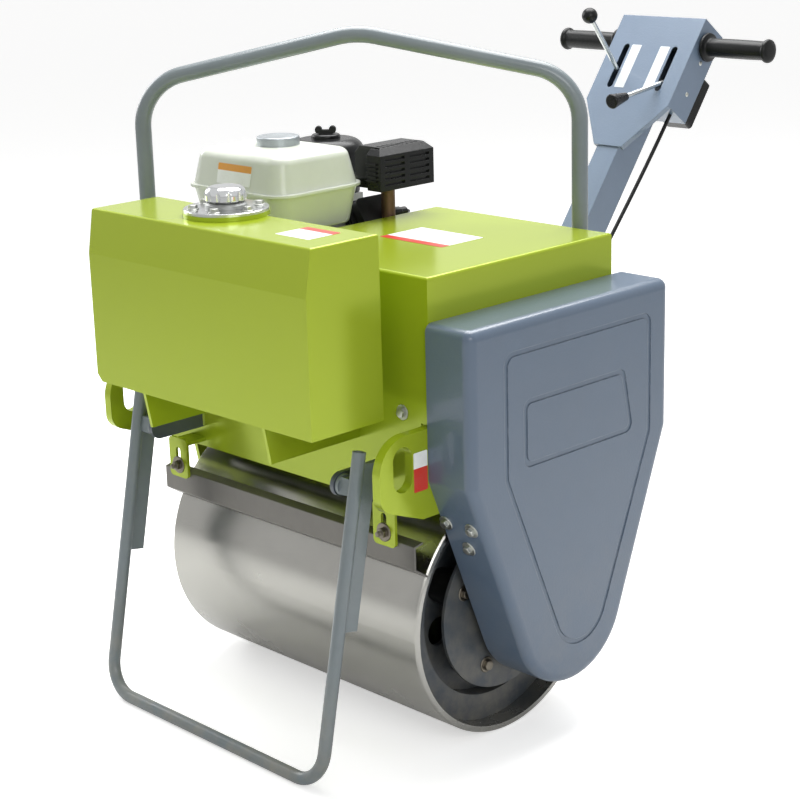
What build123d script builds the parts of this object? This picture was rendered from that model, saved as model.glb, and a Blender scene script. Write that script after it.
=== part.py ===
"""Walk-behind road roller with one drum, a water tank and a petrol engine.

Millimetres. +X forward (towards the water tank), +Y to the machine's left (the belt guard side),
+Z up. The origin lies on the ground straight below the drum's axle.
"""
from build123d import *
from math import acos, atan2, cos, radians, sin, tan
import os

os.makedirs("parts", exist_ok=True)

# Drum
DRUM_R = 213.0
DRUM_WALL = 10.0
DRUM_HALF = 300.0
DRUM_EDGE = 2.5
DRUM_TOP_Z = 2 * DRUM_R
WEB_T = 8.0
WEB_RIM_Y = 258.0
WEB_DISC_Y = 236.0
WEB_RIM_BAND = 45.0
WEB_STEP_R = DRUM_R - WEB_RIM_BAND
WEB_HOLE_R = 24.0
WEB_HOLES = 4
BUFFER_R = 29.0
BUFFER_INSET = 110.0
BUFFER_CIRCLE_R = DRUM_R - BUFFER_INSET
BUFFERS = 4
BUFFER_ANGLE = -64.0
DRIVE_DISC_INSET = 73.0
DRIVE_DISC_R = DRUM_R - DRIVE_DISC_INSET
DRIVE_DISC_T = 6.0
DRIVE_DISC_Y = 284.0
SHAFT_R = 20.0
SHAFT_COLLAR = 4.0
HUB_R = 34.0
SHAFT_PLAY = 0.05

# Side plates with the lifting eyes, and the hangers that carry the drum
FRAME_SET_IN = 39.0
FRAME_OVERHANG = 33.0
FRAME_CLEAR = 14.0
FRAME_DEPTH = 154.0
SIDE_Y = 306.0
SIDE_T = 16.0
RIGHT_SET = 66.0
FRAME_FRONT_X = DRUM_R - FRAME_SET_IN
FRAME_REAR_X = -DRUM_R - FRAME_OVERHANG
FRAME_BOTTOM_Z = DRUM_TOP_Z + FRAME_CLEAR
DECK_TOP_Z = FRAME_BOTTOM_Z + FRAME_DEPTH
APRON_T = 12.0
SHEET_T = 5.0
APRON_DROP = 30.0
APRON_BOTTOM_Z = FRAME_BOTTOM_Z - APRON_DROP
EYE_REACH = 110.0
EYE_SHOULDER = 41.0
EYE_DROP = 27.0
EYE_FLAT = 22.0
EYE_REACH_X = FRAME_FRONT_X + EYE_REACH
EYE_TOP_Z = DECK_TOP_Z - EYE_SHOULDER
EYE_BOTTOM_Z = FRAME_BOTTOM_Z - EYE_DROP
EYE_BOTTOM_X = FRAME_FRONT_X + EYE_FLAT
EYE_NOSE_RISE = 34.0
EYE_NOSE_R = 30.0
EYE_CROWN_R = 56.0
EYE_SLOT_OUT = 62.0
EYE_SLOT_UP = 61.0
EYE_SLOT_X = FRAME_FRONT_X + EYE_SLOT_OUT
EYE_SLOT_Z = FRAME_BOTTOM_Z + EYE_SLOT_UP
EYE_SLOT_L = 71.0
EYE_SLOT_W = 40.0
EYE_LEAD_IN = 30.0
HANGER_T = 8.0
HANGER_FOOT_R = 60.0
HANGER_TOP_HALF = 150.0
HANGER_X = -45.0
HOUSING_R = 48.0
HOUSING_T = 26.0
CAP_T = 7.0

# Hood and deck
HOOD_H = 188.0
HOOD_SKIRT = 53.0
HOOD_TOP_Z = DECK_TOP_Z + HOOD_H
HOOD_RIGHT_Y = -88.0
HOOD_SKIN = 2.5
HOOD_SKIRT_Z = DECK_TOP_Z - HOOD_SKIRT
HOOD_BEND_R = 5.0

# Gearbox that the belts drive, closed in under the hood
GEARBOX_SET_IN = 68.0
GEARBOX_X = FRAME_FRONT_X - GEARBOX_SET_IN
GEARBOX_Y = 110.0
GEARBOX_L = 120.0
GEARBOX_W = 170.0
GEARBOX_H = 95.0

# Water tank on its two gussets
TANK_STANDOFF = 54.0
TANK_DEPTH = 145.0
TANK_FOLD_SET = 12.0
TANK_HANG = 27.0
TANK_H = 283.0
TANK_FOLD_DROP = 71.0
TANK_BACK_X = FRAME_FRONT_X + TANK_STANDOFF
TANK_FRONT_X = TANK_BACK_X + TANK_DEPTH
TANK_FRONT_TOP_X = TANK_FRONT_X - TANK_FOLD_SET
TANK_HALF = 260.0
TANK_BOTTOM_Z = DECK_TOP_Z - TANK_HANG
TANK_TOP_Z = TANK_BOTTOM_Z + TANK_H
TANK_FOLD_Z = TANK_TOP_Z - TANK_FOLD_DROP
TANK_EDGE_R = 4.0
TANK_SKIN = 5.0
TANK_CORNER_CUT = 12.0
GUSSET_Y = 145.0
GUSSET_T = 6.0
GUSSET_NOSE_SET = 17.0
GUSSET_TOP_SET = 6.0
GUSSET_DEPTH = 61.0
GUSSET_NOSE_X = TANK_FRONT_X - GUSSET_NOSE_SET
GUSSET_TOP_X = TANK_FRONT_X - GUSSET_TOP_SET
GUSSET_BOTTOM_Z = TANK_BOTTOM_Z - GUSSET_DEPTH
FILLER_SET = 35.0
FILLER_X = TANK_BACK_X + FILLER_SET
FILLER_Y = -42.0
FILLER_BOSS_R = 68.0
FILLER_BOSS_T = 7.0
FILLER_PLATE_R = 67.0
FILLER_PLATE_T = 5.0
FILLER_NECK_R = 33.0
FILLER_NECK_T = 8.0
FILLER_THROAT_R = 20.0
FILLER_THROAT_T = 4.0
FILLER_CAP_R = 33.0
FILLER_CAP_T = 21.0
FILLER_CAP_CROWN = 13.0
FILLER_CAP_LOBES = 12
FILLER_SCALLOP_R = 4.0
FILLER_SCALLOP_OUT = 2.2

# Belt guard
GUARD_DEPTH = 90.0
GUARD_Y = SIDE_Y + GUARD_DEPTH
GUARD_RISE = 120.0
GUARD_TOP_Z = DECK_TOP_Z + GUARD_RISE
GUARD_CENTRE_X = -51.0
GUARD_SHOULDER = 21.0
GUARD_HALF = DRUM_R + GUARD_SHOULDER
GUARD_KNEE_UP = 30.0
GUARD_KNEE_Z = FRAME_BOTTOM_Z + GUARD_KNEE_UP
GUARD_FOOT_R = 126.0
GUARD_FOOT_UP = 6.0
GUARD_FOOT_Z = DRUM_R + GUARD_FOOT_UP
GUARD_SKIN = 3.0
GUARD_SHOULDER_R = 14.0
GUARD_EDGE_R = 16.0
EMBOSS_CENTRE_X = -64.0
EMBOSS_INSET = 60.0
EMBOSS_TOP_SET = 46.0
EMBOSS_FOOT_R = 64.0
EMBOSS_CORNER_R = 20.0
EMBOSS_W = 8.0
EMBOSS_DEPTH = 1.8
PANEL_FRONT_X = 67.0
PANEL_REAR_TOP_X = -172.0
PANEL_REAR_LOW_X = -194.0
PANEL_TOP_SET = 126.0
PANEL_H = 108.0
PANEL_CORNER_R = 15.0

# Scraper, its slotted brackets and the spray pipe
SCRAPER_HALF = 304.0
SCRAPER_T = 3.0
SCRAPER_GAP = 0.6
SCRAPER_RISE = 105.0
SCRAPER_REACH = 30.0
SCRAPER_H = 56.0
SCRAPER_LIP = 16.0
SCRAPER_LIP_Z = DRUM_R + SCRAPER_RISE
SCRAPER_LIP_X = ((DRUM_R + SCRAPER_GAP) ** 2 - SCRAPER_RISE ** 2) ** 0.5
SCRAPER_FACE_X = SCRAPER_LIP_X + SCRAPER_REACH
SCRAPER_TOP_Z = SCRAPER_LIP_Z + SCRAPER_H
SCRAPER_FLANGE = 16.0
BRACKET_Y = 252.0
BRACKET_SHIFT_Y = -8.0
BRACKET_W = 48.0
BRACKET_T = 5.0
BRACKET_UP = 44.0
BRACKET_BOTTOM_Z = SCRAPER_LIP_Z + BRACKET_UP
BRACKET_LAP = 22.0
BRACKET_SLOT_W = 12.0
BRACKET_SLOT_L = 44.0
BRACKET_SLOT_UP = 31.0
BRACKET_SHELF_T = 6.0
SPRAY_SET = 25.0
SPRAY_DROP = 16.0
SPRAY_X = FRAME_FRONT_X - SPRAY_SET
SPRAY_Z = FRAME_BOTTOM_Z - SPRAY_DROP
SPRAY_R = 11.0
SPRAY_WALL = 2.0
SPRAY_HALF = 262.0
SPRAY_STRAP_Y = 170.0
SPRAY_STRAP_W = 20.0
SPRAY_STRAP_T = 8.0

# Lifting bar: one bent tube across the machine, corner to corner
BAR_R = 13.45
BAR_WALL = 2.6
BAR_SET = 31.0
BAR_FOOT_UP = 22.0
BAR_RISE = 432.0
BAR_CROWN = 78.0
BAR_RIGHT_Y = 319.5
BAR_FRONT_X = FRAME_FRONT_X + BAR_SET
BAR_REAR_Y = 228.0
BAR_FOOT_Z = FRAME_BOTTOM_Z + BAR_FOOT_UP
BAR_SHOULDER_Z = DECK_TOP_Z + BAR_RISE
BAR_PEAK_Z = BAR_SHOULDER_Z + BAR_CROWN
BAR_BEND_R = 88.0
BAR_PEAK_BEND_R = 150.0
SADDLE_T = 8.0
SADDLE_UP = 4.0
SADDLE_H = 52.0
SADDLE_HALF = 30.0
SADDLE_PAD_HALF = 12.0

# Stand
STAND_TUBE_R = 10.5
STAND_WALL = 2.6
STAND_SHIFT_Y = -22.5
STAND_SIDE_GAP = 45.0
STAND_HALF = SIDE_Y - SIDE_T - STAND_SIDE_GAP - STAND_SHIFT_Y
STAND_OUT = 92.0
STAND_UP = 25.0
STAND_HEAD = 57.0
STAND_PIVOT_X = FRAME_FRONT_X + STAND_OUT
STAND_PIVOT_Z = FRAME_BOTTOM_Z + STAND_UP
STAND_TOP_Z = STAND_PIVOT_Z + STAND_HEAD
STAND_LEAN = 11.5
STAND_LEG_OFFSET = 12.0
STAND_BEND_R = 55.0
STAND_RIB_W = 28.0
STAND_RIB_T = 3.0
STAND_RIB_HEAD = 40.0
STAND_RIB_FOOT = 222.0
STAND_LUG_T = 6.0
STAND_LUG_IN = 36.0
STAND_LUG_Y = STAND_HALF - STAND_LUG_IN
STAND_LUG_R = 17.0
STAND_ARM_HALF = 13.0
PIVOT_PIN_R = 6.0
PIN_PLAY = 0.05
PIVOT_PLATE_T = 8.0
PIVOT_PLATE_GAP = 1.0
PIVOT_PLATE_R = 19.0

# Engine: crankshaft along X, cylinder leaning to the left, fuel tank over the front half
CRANK_Y = -225.0
CRANK_RISE = 112.0
CRANK_Z = DECK_TOP_Z + CRANK_RISE
CASE_FRONT_X = 40.0
CASE_REAR_X = -176.0
CASE_HALF_Y = 72.0
ENGINE_FOOT_T = 8.0
CYL_ANGLE = 34.0
CYL_X = -132.0
FIN_SIZE = 84.0
FIN_T = 3.0
FIN_PITCH = 8.0
FINS = 6
CYL_START = 70.0
CYL_CORE = 62.0
HEAD_T = 16.0
RECOIL_R = 71.0
RECOIL_T = 48.0
RECOIL_SLOTS = 18
RECOIL_SLOT_L = 22.0
RECOIL_SLOT_CIRCLE = 50.0
FUEL_X = 9.0
FUEL_Y = -220.0
FUEL_LX = 194.0
FUEL_LY = 242.0
FUEL_LIP = 6.0
FUEL_LIP_T = 5.0
FUEL_LIP_RISE = 139.0
FUEL_DOME_H = 62.0
FUEL_BOWL_H = 67.0
FUEL_LIP_Z = CRANK_Z + FUEL_LIP_RISE
FUEL_TOP_Z = FUEL_LIP_Z + FUEL_DOME_H
FUEL_BOTTOM_Z = FUEL_LIP_Z - FUEL_BOWL_H
FUEL_TAPER = 13.0
FUEL_CORNER_R = 34.0
FUEL_CROWN_R = 17.0
FUEL_CAP_X = -16.0
FUEL_CAP_Y = -236.0
FUEL_CAP_R = 37.0
FUEL_CAP_T = 15.0
CLEANER_X = -168.0
CLEANER_Y = -282.0
CLEANER_R = 68.0
CLEANER_RISE = 189.0
CLEANER_H = 95.0
CLEANER_TOP_Z = CRANK_Z + CLEANER_RISE
CLEANER_BOTTOM_Z = CLEANER_TOP_Z - CLEANER_H
CLEANER_CROWN_R = 24.0
CLEANER_BASE_H = 34.0
KNOB_FOOT_R = 26.0
KNOB_FOOT_H = 8.0
WING_TURN = -45.0
WING_L = 38.0
WING_LOBE_R = 6.5
WING_T = 12.0
WING_H = 15.0
CARB_W = 60.0
CARB_BOWL_R = 24.0
MUFFLER_REAR_X = -211.0
MUFFLER_FRONT_X = -80.0
MUFFLER_GAP = 5.0
MUFFLER_RIGHT_Y = -134.0
MUFFLER_LEFT_Y = -56.0
MUFFLER_RISE = 199.0
MUFFLER_H = 72.0
MUFFLER_TOP_Z = CRANK_Z + MUFFLER_RISE
MUFFLER_BOTTOM_Z = MUFFLER_TOP_Z - MUFFLER_H
MUFFLER_EDGE = 12.0
MUFFLER_WALL = 5.0
MUFFLER_FLOOR = 3.0
MUFFLER_PORT_R = 9.0
LOUVRE_ROWS = 5
LOUVRE_L = 47.0
LOUVRE_W = 5.0
LOUVRE_DEPTH = 4.0
TOP_SLOTS = 10
TOP_SLOT_L = 20.0
TOP_SLOT_W = 5.0
FACE_RIBS = 5
FACE_RIB_T = 3.0
SHROUD_KNOB_R = 9.0
SHROUD_KNOB_T = 10.0
EXHAUST_X = -148.0
EXHAUST_Y = -106.0
EXHAUST_RISE = 60.0
EXHAUST_R = 12.0
EXHAUST_FLANGE_R = 19.0
EXHAUST_FLANGE_T = 6.0

# Handle, given in its own upright frame and leant back about its pivot
HANDLE_SET = 84.0
HANDLE_UP = 12.0
HANDLE_PIVOT_X = FRAME_REAR_X - HANDLE_SET
HANDLE_PIVOT_Z = FRAME_BOTTOM_Z + HANDLE_UP
HANDLE_LEAN = 37.0
PIVOT_TUBE_R = 22.0
PIVOT_TUBE_HALF = 92.0
HANDLE_PIN_R = 10.0
HANDLE_PIN_HEAD = 6.0
GRIP_U = 722.0
GRIP_N = -14.0
CONSOLE_PAST = 42.0
CONSOLE_BODY = 184.0
CONSOLE_TAPER = 92.0
CONSOLE_END = GRIP_U + CONSOLE_PAST
CONSOLE_SHOULDER = CONSOLE_END - CONSOLE_BODY
CONSOLE_START = CONSOLE_SHOULDER - CONSOLE_TAPER
CONSOLE_HALF = 96.0
CONSOLE_NOSE_HALF = 32.0
CONSOLE_FACE = 16.0
CONSOLE_D = 65.0
CONSOLE_SKIN = 1.5
NOSE_T = 3.0
NOSE_LIP = 10.0
POST_W = 50.0
POST_D = 62.0
POST_WALL = 2.5
POST_FACE = CONSOLE_FACE - NOSE_T
LEVER_SLOT_Y = 56.0
LEVER_SLOT_SET = 67.0
LEVER_SLOT_U = GRIP_U - LEVER_SLOT_SET
LEVER_SLOT_L = 94.0
LEVER_SLOT_W = 13.0
LEVER_R = 4.5
RIGHT_LEVER_REACH = 126.0
RIGHT_LEVER_RISE = 28.0
RIGHT_LEVER_ROOT = 26.0
LEFT_LEVER_REACH = 74.0
LEFT_LEVER_DROP = 104.0
LEFT_LEVER_ROOT = 34.0
BALL_R = 14.5
KNOB_L = 42.0
KNOB_R = 14.0
KNOB_ROOT = 3.0
GRIP_BAR_R = 11.0
GRIP_BAR_WALL = 2.5
GRIP_R = 17.5
GRIP_FLANGE_R = 22.5
GRIP_FLANGE_T = 10.0
GRIP_ROOT_R = 27.5
GRIP_ROOT_T = 7.0
GRIP_END_T = 4.0
GRIP_START = 100.0
GRIP_END = 240.0
SWITCH_L = 96.0
SWITCH_W = 58.0
SWITCH_T = 26.0
SWITCH_SET = 4.0
CABLE_R = 3.5
CABLE_IN = 34.0
CABLE_Y = 80.0
CABLE_FOOT_X = 6.0
CABLE_FOOT_Y = 74.0
CABLE_FOOT_RISE = 16.0
CABLE_BOW = 8.0
CABLE_STOP_R = 7.0
CLEVIS_Y = 100.0
CLEVIS_T = 10.0
CLEVIS_R = 30.0

DRUM_SEAT = Pos(0, 0, DRUM_R)
HANDLE_SEAT = Pos(HANDLE_PIVOT_X, 0, HANDLE_PIVOT_Z) * Rot(0, -HANDLE_LEAN, 0)
STAND_SEAT = Pos(STAND_PIVOT_X, 0, STAND_PIVOT_Z) * Rot(0, -STAND_LEAN, 0)


def save(name, shape):
    """Write one node and name it."""
    shape.label = name
    export_step(shape, f"parts/{name}.step")


def block(x0, x1, y0, y1, z0, z1):
    """A box between two corners."""
    return Pos((x0 + x1) / 2, (y0 + y1) / 2, (z0 + z1) / 2) * Box(x1 - x0, y1 - y0, z1 - z0)


def slab_y(sketch, y0, y1):
    """A sketch drawn in X and Z, as a plate from y0 to y1."""
    return extrude(Plane((0, y1, 0), x_dir=(1, 0, 0), z_dir=(0, -1, 0)) * sketch, y1 - y0)


def slab_x(sketch, x0, x1):
    """A sketch drawn in Y and Z, as a plate from x0 to x1."""
    return extrude(Plane((x0, 0, 0), x_dir=(0, 1, 0), z_dir=(1, 0, 0)) * sketch, x1 - x0)


def slab_z(sketch, z0, z1):
    """A sketch drawn in X and Y, as a plate from z0 to z1."""
    return extrude(Pos(0, 0, z0) * sketch, z1 - z0)


def disc_y(x, z, radius, y0, y1):
    """A round disc on an axis along Y."""
    return slab_y(Pos(x, z) * Circle(radius), y0, y1)


def rod(start, end, radius):
    """A straight round bar between two points."""
    way = Vector(*end) - Vector(*start)
    return Solid.make_cylinder(radius, way.length, Plane(origin=start, z_dir=way.normalized()))


def turned_y(points):
    """A profile of (radius, y) points turned about the Y axis."""
    return revolve(make_face(Polyline(*points, close=True)), Axis.Y)


def bent_tube(points, bend_radii, radius, wall):
    """A round tube along straight runs joined by bends."""
    line = bent_line(points, bend_radii)
    start = Plane(origin=line @ 0, z_dir=line % 0)
    ring = start * (Circle(radius) - Circle(radius - wall))
    return sweep(ring, path=line)


def bent_line(points, bend_radii):
    """Straight runs joined by bends, each bend with its own radius."""
    corners = [Vector(*p) for p in points]
    pieces = []
    last = corners[0]
    for before, corner, after, radius in zip(corners, corners[1:], corners[2:], bend_radii):
        into = (corner - before).normalized()
        out = (after - corner).normalized()
        half = into.get_angle(out) / 2
        reach = radius * tan(radians(half))
        arc_start = corner - into * reach
        arc_end = corner + out * reach
        sagitta = radius / cos(radians(half)) - radius
        arc_mid = corner + (out - into).normalized() * sagitta
        pieces.append(Line(last, arc_start))
        pieces.append(ThreePointArc(arc_start, arc_mid, arc_end))
        last = arc_end
    pieces.append(Line(last, corners[-1]))
    return Wire(pieces)


def both_sides(shape, shift_y=0):
    """A shape and its mirror image across the machine's middle, both then shifted sideways."""
    pair = [shape, mirror(shape, about=Plane.XZ)]
    return Compound(children=[Pos(0, shift_y, 0) * one for one in pair])


def slot_shape(length, width):
    """An upright slot with round ends."""
    return Rot(0, 0, 90) * SlotOverall(length, width)


# Drum and what turns with it

def drum_shell():
    outer, inner = DRUM_R, DRUM_R - DRUM_WALL
    half, edge = DRUM_HALF, DRUM_EDGE
    profile = [(inner, -half), (outer - edge, -half), (outer, -half + edge),
               (outer, half - edge), (outer - edge, half), (inner, half)]
    return DRUM_SEAT * turned_y(profile)


def drum_web():
    """A dished end wall: flat rim, step inwards, flat disc with lightening holes."""
    rim, disc, t = WEB_RIM_Y, WEB_DISC_Y, WEB_T
    bore, fit = HUB_R, DRUM_R - DRUM_WALL
    profile = [(bore, disc), (WEB_STEP_R - t, disc), (WEB_STEP_R - t, rim + t), (fit, rim + t),
               (fit, rim), (WEB_STEP_R, rim), (WEB_STEP_R, disc - t), (bore, disc - t)]
    web = turned_y(profile)
    for k in range(WEB_HOLES):
        angle = radians(BUFFER_ANGLE + 45 + k * 360 / WEB_HOLES)
        x, z = BUFFER_CIRCLE_R * cos(angle), BUFFER_CIRCLE_R * sin(angle)
        web -= disc_y(x, z, WEB_HOLE_R, disc - 2 * t, disc + t)
    return DRUM_SEAT * web


def drum_shaft(set_out):
    """Hub welded into the web, with the journal that runs in the hanger's housing."""
    side = SIDE_Y + set_out
    end = side + HANGER_T + HOUSING_T - 2
    collar = SHAFT_R + SHAFT_COLLAR
    profile = [(0, WEB_DISC_Y - WEB_T - 6), (HUB_R, WEB_DISC_Y - WEB_T - 6), (HUB_R, WEB_DISC_Y + 20),
               (collar, WEB_DISC_Y + 26), (collar, side - 5), (SHAFT_R, side - 5),
               (SHAFT_R, end - 2), (SHAFT_R - 2, end), (0, end)]
    return DRUM_SEAT * turned_y(profile)


def drive_disc():
    disc = disc_y(0, 0, DRIVE_DISC_R, DRIVE_DISC_Y, DRIVE_DISC_Y + DRIVE_DISC_T)
    disc -= disc_y(0, 0, SHAFT_R + SHAFT_COLLAR, DRIVE_DISC_Y - 1, DRIVE_DISC_Y + DRIVE_DISC_T + 1)
    return DRUM_SEAT * disc


def rubber_buffers():
    """Rubber cylinders between the dished wall and the disc."""
    buffers = []
    for k in range(BUFFERS):
        angle = radians(BUFFER_ANGLE + k * 360 / BUFFERS)
        x, z = BUFFER_CIRCLE_R * cos(angle), BUFFER_CIRCLE_R * sin(angle)
        buffers.append(DRUM_SEAT * disc_y(x, z, BUFFER_R, WEB_DISC_Y, DRIVE_DISC_Y))
    return Compound(children=buffers)


def save_drum():
    save("drum_shell", drum_shell())
    save("drum_end_walls", both_sides(drum_web()))
    save("drum_shafts", Compound(children=[drum_shaft(0), mirror(drum_shaft(RIGHT_SET), about=Plane.XZ)]))
    save("drive_discs", both_sides(drive_disc()))
    save("rubber_buffers", both_sides(rubber_buffers()))


# Frame

def side_plate():
    """Side plate with the slotted lifting eye reaching forward as one plate."""
    outline = Polyline(
        (FRAME_REAR_X, DECK_TOP_Z), (FRAME_FRONT_X, DECK_TOP_Z), (FRAME_FRONT_X, EYE_TOP_Z),
        (EYE_REACH_X, EYE_TOP_Z), (EYE_REACH_X, EYE_BOTTOM_Z + EYE_NOSE_RISE), (EYE_BOTTOM_X, EYE_BOTTOM_Z),
        (FRAME_FRONT_X - EYE_LEAD_IN, EYE_BOTTOM_Z), (FRAME_FRONT_X - 2 * EYE_LEAD_IN, FRAME_BOTTOM_Z),
        (FRAME_REAR_X, FRAME_BOTTOM_Z), close=True)
    face = make_face(outline)
    nose = face.vertices().filter_by(lambda v: abs(v.X - EYE_REACH_X) < 1e-3).sort_by(Axis.Y)
    face = fillet([nose[0]], EYE_NOSE_R)
    nose = face.vertices().filter_by(lambda v: abs(v.X - EYE_REACH_X) < 1e-3).sort_by(Axis.Y)
    face = fillet([nose[-1]], EYE_CROWN_R)
    face -= Pos(EYE_SLOT_X, EYE_SLOT_Z) * slot_shape(EYE_SLOT_L, EYE_SLOT_W)
    return slab_y(face, SIDE_Y - SIDE_T, SIDE_Y)


def hanger():
    """Plate bolted to the side plate, with a round foot around the drum's journal."""
    top = [(HANGER_X - HANGER_TOP_HALF, DECK_TOP_Z), (HANGER_X + HANGER_TOP_HALF, DECK_TOP_Z)]
    foot = Pos(0, DRUM_R) * Circle(HANGER_FOOT_R)
    hull = make_hull([*Polyline(*top).edges(), *foot.edges(),
                      *Line((HANGER_X - HANGER_TOP_HALF, FRAME_BOTTOM_Z),
                            (HANGER_X + HANGER_TOP_HALF, FRAME_BOTTOM_Z)).edges()])
    plate = slab_y(hull, SIDE_Y, SIDE_Y + HANGER_T)
    return plate - disc_y(0, DRUM_R, SHAFT_R + SHAFT_PLAY, SIDE_Y - 1, SIDE_Y + HANGER_T + 1)


def bearing_housing():
    y0 = SIDE_Y + HANGER_T
    ring = disc_y(0, DRUM_R, HOUSING_R, y0, y0 + HOUSING_T)
    ring = chamfer(ring.edges().group_by(Axis.Y)[-1], 4)
    return ring - disc_y(0, DRUM_R, SHAFT_R + SHAFT_PLAY, y0 - 1, y0 + HOUSING_T + 1)


def bearing_cap():
    y0 = SIDE_Y + HANGER_T + HOUSING_T
    cap = disc_y(0, DRUM_R, HOUSING_R - 10, y0, y0 + CAP_T)
    return fillet(cap.edges().group_by(Axis.Y)[-1], 3)


def on_right(shape):
    """The left side's piece on the right side, where the frame reaches further out."""
    return Pos(0, -RIGHT_SET, 0) * mirror(shape, about=Plane.XZ)


def front_apron():
    y = SIDE_Y - SIDE_T
    return block(FRAME_FRONT_X - APRON_T, FRAME_FRONT_X, -y - RIGHT_SET, y, APRON_BOTTOM_Z, DECK_TOP_Z)


def rear_apron():
    y = SIDE_Y - SIDE_T
    return block(FRAME_REAR_X, FRAME_REAR_X + SHEET_T, -y - RIGHT_SET, y, FRAME_BOTTOM_Z, DECK_TOP_Z)


def deck_plate():
    y = SIDE_Y - SIDE_T
    x0, x1 = FRAME_REAR_X + SHEET_T, FRAME_FRONT_X - APRON_T
    return block(x0, x1, -y - RIGHT_SET, y, DECK_TOP_Z - SHEET_T, DECK_TOP_Z)


def hood():
    """Folded sheet box over the gearbox, open below, its front and rear skirts over the aprons."""
    x0, x1 = FRAME_REAR_X - HOOD_SKIN, FRAME_FRONT_X + HOOD_SKIN
    y0, y1 = HOOD_RIGHT_Y, SIDE_Y
    outer = block(x0, x1, y0, y1, HOOD_SKIRT_Z, HOOD_TOP_Z)
    outer = fillet(outer.edges().group_by(Axis.Z)[-1], HOOD_BEND_R)
    inner = block(x0 + HOOD_SKIN, x1 - HOOD_SKIN, y0 + HOOD_SKIN, y1 - HOOD_SKIN,
                  HOOD_SKIRT_Z - 1, HOOD_TOP_Z - HOOD_SKIN)
    shell = outer - inner
    shell -= block(x0 + HOOD_SKIN, x1 - HOOD_SKIN, y0 - 1, y1 + 1, HOOD_SKIRT_Z - 1, DECK_TOP_Z)
    eye_notch = block(x1 - HOOD_SKIN - 1, x1 + 1, SIDE_Y - SIDE_T - 3, y1 + 1,
                      HOOD_SKIRT_Z - 1, EYE_TOP_Z + 3)
    return shell - eye_notch


def gearbox():
    """Cast case on the deck, as one plain block."""
    x, y, z = GEARBOX_X, GEARBOX_Y, DECK_TOP_Z
    case = block(x - GEARBOX_L / 2, x + GEARBOX_L / 2, y - GEARBOX_W / 2, y + GEARBOX_W / 2, z, z + GEARBOX_H)
    return fillet(case.edges().filter_by(Axis.Z), 12)


def save_frame():
    plate = side_plate()
    save("left_side_plate", plate)
    save("right_side_plate", on_right(plate))
    arm = hanger()
    save("left_hanger", arm)
    save("right_hanger", on_right(arm))
    housing = bearing_housing()
    save("bearing_housings", Compound(children=[housing, on_right(housing)]))
    save("bearing_cap", on_right(bearing_cap()))
    save("front_apron", front_apron())
    save("rear_apron", rear_apron())
    save("deck_plate", deck_plate())
    save("hood", hood())
    save("gearbox", gearbox())


# Water tank

def tank_outline():
    """Side view of the tank, with the fold across its front."""
    return make_face(Polyline(
        (TANK_BACK_X, TANK_BOTTOM_Z), (TANK_FRONT_X, TANK_BOTTOM_Z),
        (TANK_FRONT_X, TANK_FOLD_Z), (TANK_FRONT_TOP_X, TANK_TOP_Z),
        (TANK_BACK_X, TANK_TOP_Z), close=True))


def water_tank():
    """Welded sheet tank, hollow, with one cut corner and a filler hole in its top."""
    tank = slab_y(tank_outline(), -TANK_HALF, TANK_HALF)
    corner = tank.edges().filter_by(Axis.X).group_by(Axis.Z)[0].sort_by(Axis.Y)[0]
    tank = chamfer([corner], TANK_CORNER_CUT)
    tank = fillet(tank.edges().group_by(Axis.Z)[-1], TANK_EDGE_R)
    inside = offset(tank_outline(), amount=-TANK_SKIN)
    cavity = slab_y(inside, -TANK_HALF + TANK_SKIN, TANK_HALF - TANK_SKIN)
    corner = cavity.edges().filter_by(Axis.X).group_by(Axis.Z)[0].sort_by(Axis.Y)[0]
    cavity = chamfer([corner], TANK_CORNER_CUT)
    hole = Pos(FILLER_X, FILLER_Y) * Circle(FILLER_THROAT_R)
    throat = slab_z(hole, TANK_TOP_Z - 2 * TANK_SKIN, TANK_TOP_Z + 1)
    return tank - cavity - throat


def tank_gusset():
    outline = Polyline(
        (FRAME_FRONT_X + HOOD_SKIN, TANK_BOTTOM_Z), (GUSSET_TOP_X, TANK_BOTTOM_Z),
        (GUSSET_NOSE_X, GUSSET_BOTTOM_Z), (FRAME_FRONT_X, GUSSET_BOTTOM_Z),
        (FRAME_FRONT_X, HOOD_SKIRT_Z - 1), (FRAME_FRONT_X + HOOD_SKIN, HOOD_SKIRT_Z - 1), close=True)
    return slab_y(make_face(outline), GUSSET_Y - GUSSET_T / 2, GUSSET_Y + GUSSET_T / 2)


def filler_boss():
    z = TANK_TOP_Z
    return slab_z(Pos(FILLER_X, FILLER_Y) * Circle(FILLER_BOSS_R), z, z + FILLER_BOSS_T)


def filler_plate():
    z = TANK_TOP_Z + FILLER_BOSS_T
    plate = slab_z(Pos(FILLER_X, FILLER_Y) * Circle(FILLER_PLATE_R), z, z + FILLER_PLATE_T)
    return chamfer(plate.edges().group_by(Axis.Z)[-1], 1.2)


def filler_neck():
    z = TANK_TOP_Z + FILLER_BOSS_T + FILLER_PLATE_T
    at = Pos(FILLER_X, FILLER_Y)
    neck = slab_z(at * Circle(FILLER_NECK_R), z, z + FILLER_NECK_T)
    neck = chamfer(neck.edges().group_by(Axis.Z)[-1], 3)
    return neck + slab_z(at * Circle(FILLER_THROAT_R), z + FILLER_NECK_T, z + FILLER_NECK_T + FILLER_THROAT_T)


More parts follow.
